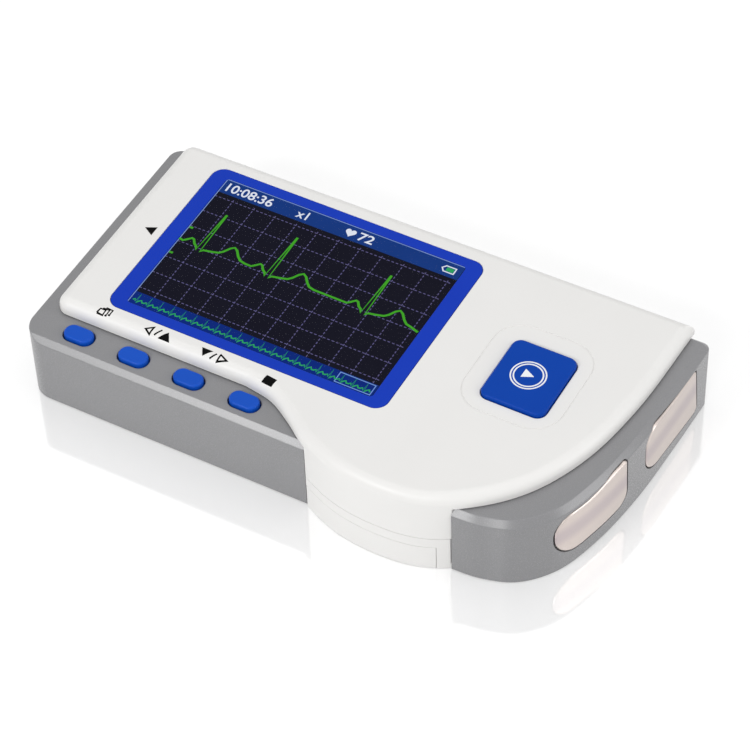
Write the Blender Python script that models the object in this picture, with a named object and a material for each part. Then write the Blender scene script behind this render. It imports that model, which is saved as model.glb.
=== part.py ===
"""Portable ECG machine: a handheld one-channel recorder with a colour display.

X runs along the length towards the finger electrodes, Y to the back and Z up.
The origin is the middle of the footprint, on the surface that the machine lies on.
"""
import math

import bmesh
import bpy
from mathutils import Matrix, Vector

MM = 0.001

# Overall size of the case, and the gaps that every fit uses
LENGTH = 125.0 * MM
DEPTH = 66.2 * MM
HEIGHT = 21.0 * MM
GAP = 0.3 * MM
OVERRUN = 3.0 * MM
BITE = 0.4 * MM
MERGE = 0.01 * MM

# Covers
TOP_PLATE = 2.0 * MM
COVER_WALL = 2.0 * MM
BASE_PLATE = 1.6 * MM
PART_LINE = 9.0 * MM
RIM_RADIUS = 2.4 * MM
WHITE_CORNER = 2.9 * MM
WHITE_BACK_CORNER = 2.6 * MM

# Grey side pieces
SIDE_WALL = 1.8 * MM
LEDGE_DROP = 3.5 * MM
LEDGE_PLATE = 1.2 * MM
LEDGE_DEPTH = 8.3 * MM
LEFT_LEDGE = 3.25 * MM
SIDE_LIFT = 0.1 * MM
BUMPER_CHAMFER = 1.2 * MM
BUMPER_EDGE = 0.35 * MM
CAP_CHAMFER = 1.3 * MM
SKIRT_OVERLAP = 1.2 * MM
BULGE_REACH = 4.8 * MM
LEFT_CORNER = 5.2 * MM
LEFT_BACK_CORNER = 3.0 * MM
RIGHT_BACK_CORNER = 1.8 * MM
LEFT_RETURN = 4.2 * MM
RIGHT_RETURN = 6.0 * MM
FOOT_DEPTH = 2.4 * MM
FOOT_HEIGHT = 1.1 * MM

# Where the side pieces end on the bulge, as shares of the length
LEFT_CUT_SHARE = 0.0296
RIGHT_CUT_SHARE = 0.2952

# Front edge of the white cover, as shares of half the length. The first table falls from the
# straight front edge to the tip of the bulge, and the second runs from the tip to the back.
BULGE_LEFT_SHARES = (
    (-0.224, 0.0), (-0.122, 0.099), (-0.035, 0.336), (0.058, 0.641), (0.192, 0.908), (0.36, 1.0))
BULGE_RIGHT_SHARES = (
    (0.512, 0.021), (0.656, 0.103), (0.774, 0.222), (0.864, 0.402), (0.915, 0.642), (0.936, 1.0))

# Outer wall of the end cap, from its front wall to the back of the case
CAP_CURVE_SHARES = (
    (0.5, -0.003), (0.59, -0.003), (0.691, -0.001), (0.797, 0.036), (0.885, 0.129),
    (0.942, 0.29), (0.978, 0.51), (0.992, 0.754), (1.0, 1.0))

# Display
FRAME_LEFT_MARGIN = 9.95 * MM
FRAME_RIGHT_MARGIN = 48.1 * MM
FRAME_FRONT_MARGIN = 4.1 * MM
FRAME_BACK_MARGIN = 4.2 * MM
FRAME_CORNER = 2.8 * MM
FRAME_THICKNESS = 0.85 * MM
FRAME_PROUD = 0.05 * MM
FRAME_END_BORDER = 3.55 * MM
FRAME_SIDE_BORDER = 2.35 * MM
WINDOW_CORNER = 0.8 * MM
LENS_THICKNESS = 0.5 * MM
PANEL_END_LAP = 1.7 * MM
PANEL_SIDE_LAP = 1.25 * MM
PANEL_THICKNESS = 1.4 * MM
BACKLIGHT_THICKNESS = 2.9 * MM
HOLDER_FLOOR = 0.8 * MM
HOLDER_WALL = 0.8 * MM
HOLDER_CORNER = 0.8 * MM
RIBBON_WIDTH = 18.0 * MM
RIBBON_THICKNESS = 0.3 * MM
RIBBON_REACH = 3.0 * MM
RIBBON_FOOT = 4.0 * MM

# Start button
START_CENTRE_SHARES = (0.288, 0.074)
START_LENGTH = 14.2 * MM
START_DEPTH = 16.9 * MM
START_CORNER = 2.0 * MM
START_PROUD = 0.9 * MM
START_EDGE = 0.5 * MM
START_SKIN = 1.4 * MM
START_FLANGE = 1.0 * MM
START_FLANGE_THICKNESS = 0.8 * MM
START_STEM_RADIUS = 2.0 * MM
START_STEM_DROP = 0.7 * MM
START_TRAVEL = 0.6 * MM
PRESS_MARGIN = 0.2 * MM
PAD_LENGTH = 21.9 * MM
PAD_DEPTH = 25.2 * MM
PAD_CORNER = 6.6 * MM
PAD_LEFT_SHIFT = 0.5 * MM
PAD_BACK_SHIFT = 0.55 * MM
PAD_LINE = 0.5 * MM
PAD_LINE_DEPTH = 0.25 * MM

# Oval keys on the ledge
KEY_COUNT = 4
KEY_LEFT_MARGIN = 11.45 * MM
KEY_PAST_BEND = 1.65 * MM
KEY_LENGTH = 6.9 * MM
KEY_DEPTH = 4.2 * MM
KEY_CORNER = 2.0 * MM
KEY_PROUD = 0.95 * MM
KEY_EDGE = 0.4 * MM
KEY_SETBACK = 4.7 * MM
KEY_FLANGE_LENGTH = 9.0 * MM
KEY_FLANGE_DEPTH = 5.2 * MM
KEY_FLANGE_THICKNESS = 0.6 * MM
KEY_STEM_DROP = 0.3 * MM
KEY_TRAVEL = 0.5 * MM

# Boards and what they carry
BOARD_THICKNESS = 1.2 * MM
BOARD_LEFT_MARGIN = 11.25 * MM
BOARD_RIGHT_MARGIN = 19.5 * MM
BOARD_FRONT_MARGIN = 10.8 * MM
BOARD_BACK_MARGIN = 4.1 * MM
BOARD_CORNER = 1.5 * MM
KEY_BOARD_MARGIN = 5.0 * MM
KEY_BOARD_DEPTH = 6.4 * MM
KEY_BOARD_SETBACK = 2.4 * MM
KEY_BOARD_CORNER = 1.0 * MM
SWITCH_SIDE = 4.6 * MM
SWITCH_BODY = 1.2 * MM
PLUNGER_RADIUS = 1.0 * MM
START_SWITCH_SIDE = 6.0 * MM
START_SWITCH_BODY = 1.6 * MM
START_PLUNGER_RADIUS = 1.6 * MM
POST_RADIUS = 1.6 * MM
BOARD_POST_SHARES = ((-0.38, -0.21), (-0.38, 0.38), (-0.03, 0.38), (0.32, 0.38), (0.32, -0.21))
KEY_POST_SHARES = (-0.357, -0.151)
KEY_POST_SETBACK = 6.8 * MM
CHIP_SIDE = 10.0 * MM
CHIP_THICKNESS = 1.2 * MM
CHIP_CENTRE_SHARES = (-0.14, 0.09)
SHIELD_LENGTH = 16.0 * MM
SHIELD_DEPTH = 13.0 * MM
SHIELD_HEIGHT = 2.6 * MM
SHIELD_CORNER = 1.0 * MM
SHIELD_X_SHARE = -0.32
SHIELD_SETBACK = 23.4 * MM
BUZZER_RADIUS = 4.5 * MM
BUZZER_HEIGHT = 3.4 * MM
BUZZER_X_SHARE = -0.24
BUZZER_SETBACK = 8.9 * MM
SOUND_HOLE_RADIUS = 0.6 * MM
SOUND_HOLE_RING = 2.55 * MM
SOUND_HOLES = 5
SOCKET_WIDTH = 7.6 * MM
SOCKET_DEPTH = 8.6 * MM
SOCKET_HEIGHT = 3.0 * MM
SOCKET_WALL = 0.5 * MM
SOCKET_X_SHARE = 0.2
BOARD_RIBBON_WIDTH = 9.0 * MM
BOARD_RIBBON_END = 3.2 * MM
BOARD_RIBBON_X_SHARE = -0.254

# Battery bay in the bulge
CELL_LENGTH = 44.5 * MM
NUB_RADIUS = 1.9 * MM
NUB_LENGTH = 0.8 * MM
CELL_EDGE = 0.5 * MM
BAY_CENTRE_SHARE = 0.152
BAY_SIDE_ROOM = 2.9 * MM
BAY_WALL = 1.2 * MM
BAY_FRONT = 5.2 * MM
CONTACT_THICKNESS = 0.4 * MM
CONTACT_MARGIN = 0.75 * MM
SPRING_LENGTH = 1.7 * MM
SPRING_WIRE = 0.36 * MM
SPRING_FOOT_SHARE = 0.61
SPRING_TIP_SHARE = 0.38
SPRING_TURNS = 2.0
SPRING_STEPS = 10
DOOR_WALL = 1.8 * MM
DOOR_TOP = 6.3 * MM
DOOR_LIFT = 0.2 * MM
DOOR_SLOT = 0.45 * MM
DOOR_RIGHT_SHARE = 0.2728

# Case screws and their bosses
LEFT_SCREW_SHARES = (-0.196, 0.408)
RIGHT_SCREW_SHARES = ((0.4, 0.408), (0.372, -0.181))
SCREW_RADIUS = 1.0 * MM
SCREW_LENGTH = 12.0 * MM
HEAD_RADIUS = 1.9 * MM
HEAD_HEIGHT = 1.4 * MM
HEAD_DEPTH = 0.9 * MM
DRIVE_WIDTH = 0.6 * MM
DRIVE_LENGTH = 2.4 * MM
DRIVE_DEPTH = 0.7 * MM
LOWER_BOSS_RADIUS = 3.2 * MM
UPPER_BOSS_RADIUS = 2.5 * MM

# Electrodes, as plates in pockets of the side walls. Each outline is a list of corners: shares of
# the plate's length and height, and the radius as a share of the height.
ELECTRODE_LENGTH = 21.5 * MM
ELECTRODE_FOOT = 3.9 * MM
ELECTRODE_TOP_MARGIN = 1.2 * MM
ELECTRODE_THICKNESS = 1.0 * MM
ELECTRODE_PROUD = 0.15 * MM
STUD_RADIUS = 1.2 * MM
STUD_LENGTH = 1.9 * MM
FRONT_ELECTRODE_SHARES = (
    (0.009, 0.016, 0.47), (0.991, 0.01, 0.25), (0.958, 1.0, 0.05), (0.74, 0.995, 1.5),
    (0.437, 0.905, 1.5), (0.009, 0.915, 0.34))
REAR_ELECTRODE_SHARES = (
    (-0.012, 0.036, 0.42), (1.018, -0.1, 0.1), (0.942, 0.935, 0.05), (-0.012, 1.012, 0.38))
LEFT_ELECTRODE_SHARES = (
    (0.0, 0.0, 0.4), (1.0, 0.0, 0.4), (1.0, 1.0, 0.4), (0.0, 1.0, 0.4))
FRONT_ELECTRODE_Y_SHARE = -0.168
REAR_ELECTRODE_Y_SHARE = 0.258
LEFT_ELECTRODE_Y_SHARE = 0.05
FRONT_PAD_Y_SHARE = -0.06
WIRE_RADIUS = 0.4 * MM
WIRE_RISE_SHARES = (0.0, 0.02, 0.1, 0.3, 0.55, 0.8, 0.94, 1.0)

# Levels that follow from the sizes above
HALF_LENGTH = LENGTH / 2
HALF_DEPTH = DEPTH / 2
CEILING = HEIGHT - TOP_PLATE
LEDGE = HEIGHT - LEDGE_DROP
LEDGE_UNDER = LEDGE - LEDGE_PLATE
FRONT = -HALF_DEPTH + BULGE_REACH
WHITE_FRONT = FRONT + LEDGE_DEPTH
WHITE_LEFT = -HALF_LENGTH + LEFT_LEDGE
LEFT_CUT = LEFT_CUT_SHARE * LENGTH
RIGHT_CUT = RIGHT_CUT_SHARE * LENGTH
LEFT_BACK = -HALF_LENGTH + LEFT_RETURN
RIGHT_BACK = HALF_LENGTH - RIGHT_RETURN
FOOT_LEVEL = BASE_PLATE + GAP
FRAME_LEFT = WHITE_LEFT + FRAME_LEFT_MARGIN
FRAME_RIGHT = HALF_LENGTH - FRAME_RIGHT_MARGIN
FRAME_FRONT = WHITE_FRONT + FRAME_FRONT_MARGIN
FRAME_BACK = HALF_DEPTH - FRAME_BACK_MARGIN
FRAME_LENGTH = FRAME_RIGHT - FRAME_LEFT
FRAME_DEPTH = FRAME_BACK - FRAME_FRONT
DISPLAY_CENTRE = ((FRAME_LEFT + FRAME_RIGHT) / 2, (FRAME_FRONT + FRAME_BACK) / 2)
WINDOW_LENGTH = FRAME_LENGTH - 2 * FRAME_END_BORDER
WINDOW_DEPTH = FRAME_DEPTH - 2 * FRAME_SIDE_BORDER
PANEL_LENGTH = WINDOW_LENGTH + 2 * PANEL_END_LAP
PANEL_DEPTH = WINDOW_DEPTH + 2 * PANEL_SIDE_LAP
FRAME_TOP = HEIGHT + FRAME_PROUD
FRAME_BOTTOM = FRAME_TOP - FRAME_THICKNESS
PANEL_TOP = FRAME_BOTTOM - GAP
PANEL_BOTTOM = PANEL_TOP - PANEL_THICKNESS
BACKLIGHT_TOP = PANEL_BOTTOM - GAP
BACKLIGHT_BOTTOM = BACKLIGHT_TOP - BACKLIGHT_THICKNESS
HOLDER_BOTTOM = BACKLIGHT_BOTTOM - GAP - HOLDER_FLOOR
BOARD_TOP = HOLDER_BOTTOM - GAP
BOARD_BOTTOM = BOARD_TOP - BOARD_THICKNESS
BOARD_LEFT = -HALF_LENGTH + BOARD_LEFT_MARGIN
BOARD_RIGHT = HALF_LENGTH - BOARD_RIGHT_MARGIN
BOARD_FRONT = FRONT + BOARD_FRONT_MARGIN
BOARD_BACK = HALF_DEPTH - BOARD_BACK_MARGIN
BUZZER_CENTRE = (BUZZER_X_SHARE * LENGTH, BOARD_FRONT + BUZZER_SETBACK)
START_CENTRE = (START_CENTRE_SHARES[0] * LENGTH, START_CENTRE_SHARES[1] * DEPTH)
PAD_CENTRE = (START_CENTRE[0] - PAD_LEFT_SHIFT, START_CENTRE[1] + PAD_BACK_SHIFT)
START_TOP = HEIGHT + START_PROUD
START_FLANGE_TOP = CEILING - GAP
START_FLANGE_BOTTOM = START_FLANGE_TOP - START_FLANGE_THICKNESS
START_STEM = START_FLANGE_BOTTOM - START_STEM_DROP
START_SWITCH_TOP = START_STEM - START_TRAVEL - PRESS_MARGIN
KEY_FIRST = -HALF_LENGTH + KEY_LEFT_MARGIN
KEY_LAST = BULGE_LEFT_SHARES[0][0] * HALF_LENGTH + KEY_PAST_BEND
KEY_PITCH = (KEY_LAST - KEY_FIRST) / (KEY_COUNT - 1)
KEY_Y = FRONT + KEY_SETBACK
KEY_TOP = LEDGE + KEY_PROUD
KEY_FLANGE_TOP = LEDGE_UNDER - GAP
KEY_FLANGE_BOTTOM = KEY_FLANGE_TOP - KEY_FLANGE_THICKNESS
KEY_STEM = KEY_FLANGE_BOTTOM - KEY_STEM_DROP
KEY_SWITCH_TOP = KEY_STEM - KEY_TRAVEL - PRESS_MARGIN
KEY_SWITCH_BOTTOM = KEY_SWITCH_TOP - SWITCH_BODY - PRESS_MARGIN
KEY_BOARD_TOP = KEY_SWITCH_BOTTOM - GAP
KEY_BOARD_BOTTOM = KEY_BOARD_TOP - BOARD_THICKNESS
BAY_CENTRE = BAY_CENTRE_SHARE * LENGTH
CELL_ROOM_ABOVE = (BOARD_BOTTOM - GAP - BASE_PLATE - GAP) / 2
CELL_ROOM_ACROSS = (BAY_CENTRE - LEFT_CUT - BAY_SIDE_ROOM - BAY_WALL - 1.5 * GAP) / 2
CELL_RADIUS = min(CELL_ROOM_ABOVE, CELL_ROOM_ACROSS)
BAY_HALF = 2 * CELL_RADIUS + 1.5 * GAP
CELL_OFFSET = CELL_RADIUS + GAP / 2
CELL_AXIS = BASE_PLATE + GAP + CELL_RADIUS
CONTACT_SIDE = 2 * (CELL_RADIUS - CONTACT_MARGIN)
BRIDGE_FRONT = -HALF_DEPTH + BAY_FRONT - CONTACT_THICKNESS
BRIDGE_BACK = BRIDGE_FRONT + CONTACT_THICKNESS
TERMINAL_FRONT = BRIDGE_BACK + 3 * GAP + SPRING_LENGTH + CELL_LENGTH
TERMINAL_BACK = TERMINAL_FRONT + CONTACT_THICKNESS
BAY_BACK = TERMINAL_BACK + GAP
DOOR_RIGHT = DOOR_RIGHT_SHARE * LENGTH
DOOR_LEFT = LEFT_CUT + DOOR_SLOT
ELECTRODE_HEIGHT = LEDGE - ELECTRODE_TOP_MARGIN - ELECTRODE_FOOT

# Curve quality, in steps for each arc or span
CORNER_STEPS = 5
SMALL_STEPS = 3
SPAN_STEPS = 3
RIM_STEPS = 3
ROUND_SIDES = 20
SMALL_SIDES = 12
SMOOTH_ANGLE = math.radians(35)
FLAT_ANGLE = math.radians(0.05)


# Scene and materials

def clear_scene():
    """Remove whatever the scene holds."""
    for old in list(bpy.data.objects):
        bpy.data.objects.remove(old, do_unlink=True)


def new_collection(name):
    """A collection that is linked to the scene."""
    group = bpy.data.collections.new(name)
    bpy.context.scene.collection.children.link(group)
    return group


def new_material(name, colour, roughness, metallic=0.0):
    """A plain finish: colour is linear RGB."""
    finish = bpy.data.materials.new(name)
    finish.use_nodes = True
    shader = finish.node_tree.nodes["Principled BSDF"]
    shader.inputs["Base Color"].default_value = (*colour, 1.0)
    shader.inputs["Roughness"].default_value = roughness
    shader.inputs["Metallic"].default_value = metallic
    return finish


clear_scene()
PARTS = new_collection("portable_ecg_machine")
CUTTERS = new_collection("cutters")

WHITE = new_material("white_abs", (0.84, 0.83, 0.81), 0.32)
GREY = new_material("grey_abs", (0.28, 0.28, 0.29), 0.45)
BLUE = new_material("blue_abs", (0.01, 0.05, 0.5), 0.35)
GLASS = new_material("clear_acrylic", (0.02, 0.02, 0.03), 0.08)
PANEL = new_material("display_glass", (0.015, 0.015, 0.025), 0.15)
STEEL = new_material("stainless_steel", (0.58, 0.54, 0.52), 0.32, 1.0)
SPRING_STEEL = new_material("nickel_plated_steel", (0.6, 0.58, 0.55), 0.3, 1.0)
BOARD = new_material("green_board", (0.02, 0.16, 0.06), 0.5)
BLACK = new_material("black_plastic", (0.02, 0.02, 0.02), 0.5)
RIBBON = new_material("amber_ribbon", (0.4, 0.2, 0.03), 0.4)
CELL = new_material("cell_sleeve", (0.05, 0.05, 0.06), 0.35)
INSULATION = new_material("wire_insulation", (0.6, 0.05, 0.03), 0.5)


# Outlines: a path is a closed list of corners (x, y, radius), run anticlockwise

def inset(path, distance):
    """The path moved inwards by a distance, with its corner radii reduced to suit."""
    moved = []
    for i, (x, y, radius) in enumerate(path):
        here = Vector((x, y))
        before = (here - Vector(path[i - 1][:2])).normalized()
        after = (Vector(path[(i + 1) % len(path)][:2]) - here).normalized()
        normal_in = Vector((-before.y, before.x))
        normal_out = Vector((-after.y, after.x))
        mitre = (normal_in + normal_out) / (1 + normal_in.dot(normal_out))
        place = here + mitre * distance
        turn = before.cross(after)
        kept = radius - distance if turn > 0 else radius + distance
        moved.append((place.x, place.y, max(kept, 0) if radius else 0))
    return moved


def rounded(path, steps=CORNER_STEPS):
    """The path's points, with an arc at each corner that has a radius."""
    points = []
    for i, (x, y, radius) in enumerate(path):
        here = Vector((x, y))
        if radius <= MERGE:
            points.append(here)
            continue
        back = (Vector(path[i - 1][:2]) - here).normalized()
        ahead = (Vector(path[(i + 1) % len(path)][:2]) - here).normalized()
        half = math.acos(max(-1, min(1, back.dot(ahead)))) / 2
        centre = here + (back + ahead).normalized() * (radius / math.sin(half))
        start = here + back * (radius / math.tan(half)) - centre
        sweep = (math.pi - 2 * half) * (1 if back.cross(ahead) < 0 else -1)
        for step in range(steps + 1):
            points.append(centre + Matrix.Rotation(sweep * step / steps, 2) @ start)
    return points


def smooth(points, steps=SPAN_STEPS):
    """A smooth curve through the points, with shorter spans bending tighter."""
    knots = [Vector(point) for point in points]
    knots = [2 * knots[0] - knots[1], *knots, 2 * knots[-1] - knots[-2]]
    curve = []
    for i in range(1, len(knots) - 2):
        four = knots[i - 1:i + 3]
        times = [0.0]
        for a, b in zip(four, four[1:]):
            times.append(times[-1] + math.sqrt((b - a).length))
        for step in range(steps):
            now = times[1] + (times[2] - times[1]) * step / steps
            level = list(four)
            for order in (1, 2, 3):
                level = [blend(level[j], level[j + 1], now,
                               times[j if order < 3 else 1], times[j + order if order < 3 else 2])
                         for j in range(len(level) - 1)]
            curve.append(level[0])
    curve.append(knots[-2])
    return curve


def blend(first, last, now, start, end):
    """The place between two points at a time between two times."""
    share = (now - start) / (end - start)
    return first * (1 - share) + last * share


def between(curve, low, high):
    """The stretch of a curve whose x lies between two limits, with its ends on the limits."""
    kept = []
    for a, b in zip(curve, curve[1:]):
        if low <= a.x <= high:
            kept.append(a)
        for limit in (low, high):
            if (a.x - limit) * (b.x - limit) < 0:
                kept.append(a.lerp(b, (limit - a.x) / (b.x - a.x)))
    if low <= curve[-1].x <= high:
        kept.append(curve[-1])
    return kept


def corners(points):
    """Points as path corners without a radius."""
    return [(point.x, point.y, 0) for point in points]


def rectangle(length, depth, radius=0.0, centre=(0.0, 0.0)):
    """A rounded rectangle's path about a centre."""
    x, y = centre
    half_x, half_y = length / 2, depth / 2
    return [(x - half_x, y - half_y, radius), (x + half_x, y - half_y, radius),
            (x + half_x, y + half_y, radius), (x - half_x, y + half_y, radius)]


# Solids

def add_object(name, mesh, group=None):
    """An object for a mesh, as a cutter unless a collection is given."""
    made = bpy.data.objects.new(name, mesh)
    (group or CUTTERS).objects.link(made)
    if group is None:
        made.hide_render = True
        made.display_type = "WIRE"
    return made


def mesh_from_curve(name, data, merge_caps=True):
    """A closed mesh from a curve, with its loose caps welded."""
    guide = bpy.data.objects.new(name, data)
    CUTTERS.objects.link(guide)
    graph = bpy.context.evaluated_depsgraph_get()
    mesh = bpy.data.meshes.new_from_object(guide.evaluated_get(graph))
    bpy.data.objects.remove(guide, do_unlink=True)
    work = bmesh.new()
    work.from_mesh(mesh)
    bmesh.ops.remove_doubles(work, verts=work.verts, dist=MERGE)
    if merge_caps:
        bmesh.ops.dissolve_limit(work, angle_limit=FLAT_ANGLE, verts=work.verts, edges=work.edges)
    bmesh.ops.recalc_face_normals(work, faces=work.faces)
    work.to_mesh(mesh)
    work.free()
    mesh.name = name
    return mesh


def bevel_rim(mesh, level, width, steps):
    """Round or chamfer the edges of a mesh that lie flat at a level."""
    work = bmesh.new()
    work.from_mesh(mesh)
    rim = [edge for edge in work.edges
           if all(abs(vert.co.z - level) < MERGE for vert in edge.verts)
           and any(abs(face.normal.z) < 0.5 for face in edge.link_faces)]
    bmesh.ops.bevel(work, geom=rim, offset=width, segments=steps, profile=0.5, affect="EDGES")
    work.to_mesh(mesh)
    work.free()


def prism(name, points, bottom, top, rim=0.0, rim_steps=RIM_STEPS, foot=0.0, origin=(0, 0, 0)):
    """An upright solid on a flat outline. rim and foot round its top and bottom edges."""
    data = bpy.data.curves.new(name, "CURVE")
    data.dimensions = "2D"
    data.fill_mode = "BOTH"
    data.extrude = (top - bottom) / 2
    spline = data.splines.new("POLY")
    spline.points.add(len(points) - 1)
    for slot, point in zip(spline.points, points):
        slot.co = (point[0] - origin[0], point[1] - origin[1], 0, 1)
    spline.use_cyclic_u = True
    mesh = mesh_from_curve(name, data)
    half = (top - bottom) / 2
    if rim:
        bevel_rim(mesh, half, rim, rim_steps)
    if foot:
        bevel_rim(mesh, -half, foot, rim_steps)
    mesh.transform(Matrix.Translation((0, 0, (top + bottom) / 2 - origin[2])))
    made = add_object(name, mesh)
    made.location = origin
    return made


def box(name, low, high):
    """A box between two corners."""
    size = Vector(high) - Vector(low)
    middle = (Vector(high) + Vector(low)) / 2
    work = bmesh.new()
    bmesh.ops.create_cube(work, size=1.0, matrix=Matrix.Diagonal((*size, 1.0)))
    mesh = bpy.data.meshes.new(name)
    work.to_mesh(mesh)
    work.free()
    made = add_object(name, mesh)
    made.location = middle
    return made


def cylinder(name, base, radius, length, axis=(0, 0, 1), sides=ROUND_SIDES, tip_radius=None):
    """A cylinder, or a cone with a tip radius, from a base point along an axis."""
    work = bmesh.new()
    bmesh.ops.create_cone(
        work, cap_ends=True, segments=sides, radius1=radius,
        radius2=radius if tip_radius is None else tip_radius, depth=length)
    bmesh.ops.translate(work, verts=work.verts, vec=(0, 0, length / 2))
    mesh = bpy.data.meshes.new(name)
    work.to_mesh(mesh)
    work.free()
    made = add_object(name, mesh)
    made.rotation_euler = Vector(axis).to_track_quat("Z", "Y").to_euler()
    made.location = base
    return made


def boolean(target, tool, operation):
    """Add a Boolean of a tool to a target."""
    step = target.modifiers.new(tool.name, "BOOLEAN")
    step.operation = operation
    step.solver = "EXACT"
    step.object = tool
    return target


def cut(target, *tools):
    """Take tools out of a target."""
    for tool in tools:
        boolean(target, tool, "DIFFERENCE")
    return target


def join(target, *tools):
    """Add tools to a target."""
    for tool in tools:
        boolean(target, tool, "UNION")
    return target


def finish(target, finish_material):
    """Make a solid one of the machine's pieces."""
    CUTTERS.objects.unlink(target)
    PARTS.objects.link(target)
    target.hide_render = False
    target.display_type = "TEXTURED"
    target.data.materials.clear()
    target.data.materials.append(finish_material)
    target.data.shade_smooth()
    target.data.set_sharp_from_angle(angle=SMOOTH_ANGLE)
    return target


def tube(name, points, radius, finish_material):
    """A wire along a list of points."""
    data = bpy.data.curves.new(name, "CURVE")
    data.dimensions = "3D"
    data.bevel_depth = radius
    data.bevel_resolution = 1
    data.use_fill_caps = True
    spline = data.splines.new("POLY")
    spline.points.add(len(points) - 1)
    for slot, point in zip(spline.points, points):
        slot.co = (*point, 1)
    mesh = mesh_from_curve(name, data, merge_caps=False)
    return finish(add_object(name, mesh), finish_material)


def strip(name, profile, low, high, axis, finish_material):
    """A thin bent strip: its centre line is a profile (along, up), and it is flat along axis."""
    half = RIBBON_THICKNESS / 2
    line = [Vector(point) for point in profile]
    sides = ([], [])
    for i, here in enumerate(line):
        before = (here - line[i - 1]).normalized() if i else None
        after = (line[i + 1] - here).normalized() if i < len(line) - 1 else None
        first, last = before or after, after or before
        a, b = Vector((-first.y, first.x)), Vector((-last.y, last.x))
        offset = (a + b) / (1 + a.dot(b)) * half
        sides[0].append(here - offset)
        sides[1].append(here + offset)
    made = prism(name, sides[0] + sides[1][::-1], low, high)
    if axis == "X":
        turn = Matrix(((0, 0, 1), (1, 0, 0), (0, 1, 0))).to_4x4()
    else:
        turn = Matrix(((1, 0, 0), (0, 0, -1), (0, 1, 0))).to_4x4()
    made.data.transform(turn)
    return finish(made, finish_material)


# Outlines of the case

def white_front_curve():
    """The wavy front edge of the white cover, from its straight stretch to the back corner."""
    tip = -HALF_DEPTH
    fall = [(u * HALF_LENGTH, WHITE_FRONT + v * (tip - WHITE_FRONT)) for u, v in BULGE_LEFT_SHARES]
    rise = [(u * HALF_LENGTH, tip + v * DEPTH) for u, v in BULGE_RIGHT_SHARES]
    return smooth(fall + rise)


def white_path():
    """The white cover seen from above."""
    return [(WHITE_LEFT, HALF_DEPTH, WHITE_BACK_CORNER), (WHITE_LEFT, WHITE_FRONT, WHITE_CORNER),
            *corners(white_front_curve())]


def cap_curve():
    """The outer wall of the end cap."""
    return smooth([(u * HALF_LENGTH, FRONT + v * (HALF_DEPTH - FRONT))
                   for u, v in CAP_CURVE_SHARES])


def left_path():
    """The outer outline that the left bumper belongs to, carried on past the bumper's end."""
    far = RIGHT_CUT
    return [(-HALF_LENGTH, HALF_DEPTH, LEFT_BACK_CORNER), (-HALF_LENGTH, FRONT, LEFT_CORNER),
            (far, FRONT, 0), (far, HALF_DEPTH, 0)]


def right_path():
    """The outer outline that the end cap belongs to, carried on past the cap's end."""
    curve = cap_curve()
    corner_room = SIDE_WALL + FOOT_DEPTH + BITE
    wall = [point for point in curve if point.y < HALF_DEPTH - corner_room]
    return [(BAY_CENTRE, HALF_DEPTH, 0), (BAY_CENTRE, FRONT, 0), *corners(wall),
            (curve[-1].x, curve[-1].y, RIGHT_BACK_CORNER)]


# Side pieces and electrodes

def side_piece(name, path, edge, end_low, end_high, return_low, return_high):
    """A grey wall with a ledge on top and a foot over the base plate."""
    made = prism(name, rounded(path), SIDE_LIFT, LEDGE, rim=edge, rim_steps=1)
    inner = rounded(inset(path, SIDE_WALL))
    foot = rounded(inset(path, SIDE_WALL + FOOT_DEPTH))
    under_white = rounded(inset(white_path(), SKIRT_OVERLAP))
    past_end = box(name + "_end", (end_low, -DEPTH, -OVERRUN), (end_high, DEPTH, HEIGHT))
    past_return = box(name + "_return", (return_low, BAY_BACK - OVERRUN, -OVERRUN),
                      (return_high, DEPTH, HEIGHT))
    return cut(
        made,
        prism(name + "_below", inner, -OVERRUN, FOOT_LEVEL),
        prism(name + "_through", foot, -OVERRUN, LEDGE_UNDER),
        prism(name + "_inside", inner, FOOT_LEVEL + FOOT_HEIGHT, LEDGE_UNDER),
        prism(name + "_ledge", under_white, LEDGE_UNDER - BITE, LEDGE + OVERRUN),
        past_end, past_return)


def front_chamfer():
    """The wedge that the bumper loses along its front edge. It runs out at the round corner."""
    low, high = FRONT - OVERRUN, FRONT + BUMPER_CHAMFER + OVERRUN
    profile = [Vector((low, LEDGE - BUMPER_CHAMFER - OVERRUN)), Vector((high, LEDGE + OVERRUN)),
               Vector((low, LEDGE + OVERRUN))]
    wedge = prism("front_chamfer", profile, -LENGTH, LENGTH)
    wedge.data.transform(Matrix(((0, 0, 1), (1, 0, 0), (0, 1, 0))).to_4x4())
    return wedge


def wall_point(path, y, right_side):
    """A point of a side wall at a depth y, with the wall's direction there."""
    line = rounded(path)
    for a, b in zip(line, line[1:]):
        on_side = a.x > BAY_CENTRE if right_side else a.x < -HALF_LENGTH + MERGE
        if on_side and (a.y - y) * (b.y - y) <= 0 and a.y != b.y:
            return a.lerp(b, (y - a.y) / (b.y - a.y)), (b - a).normalized()
    raise ValueError("no wall at this depth")


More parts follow.
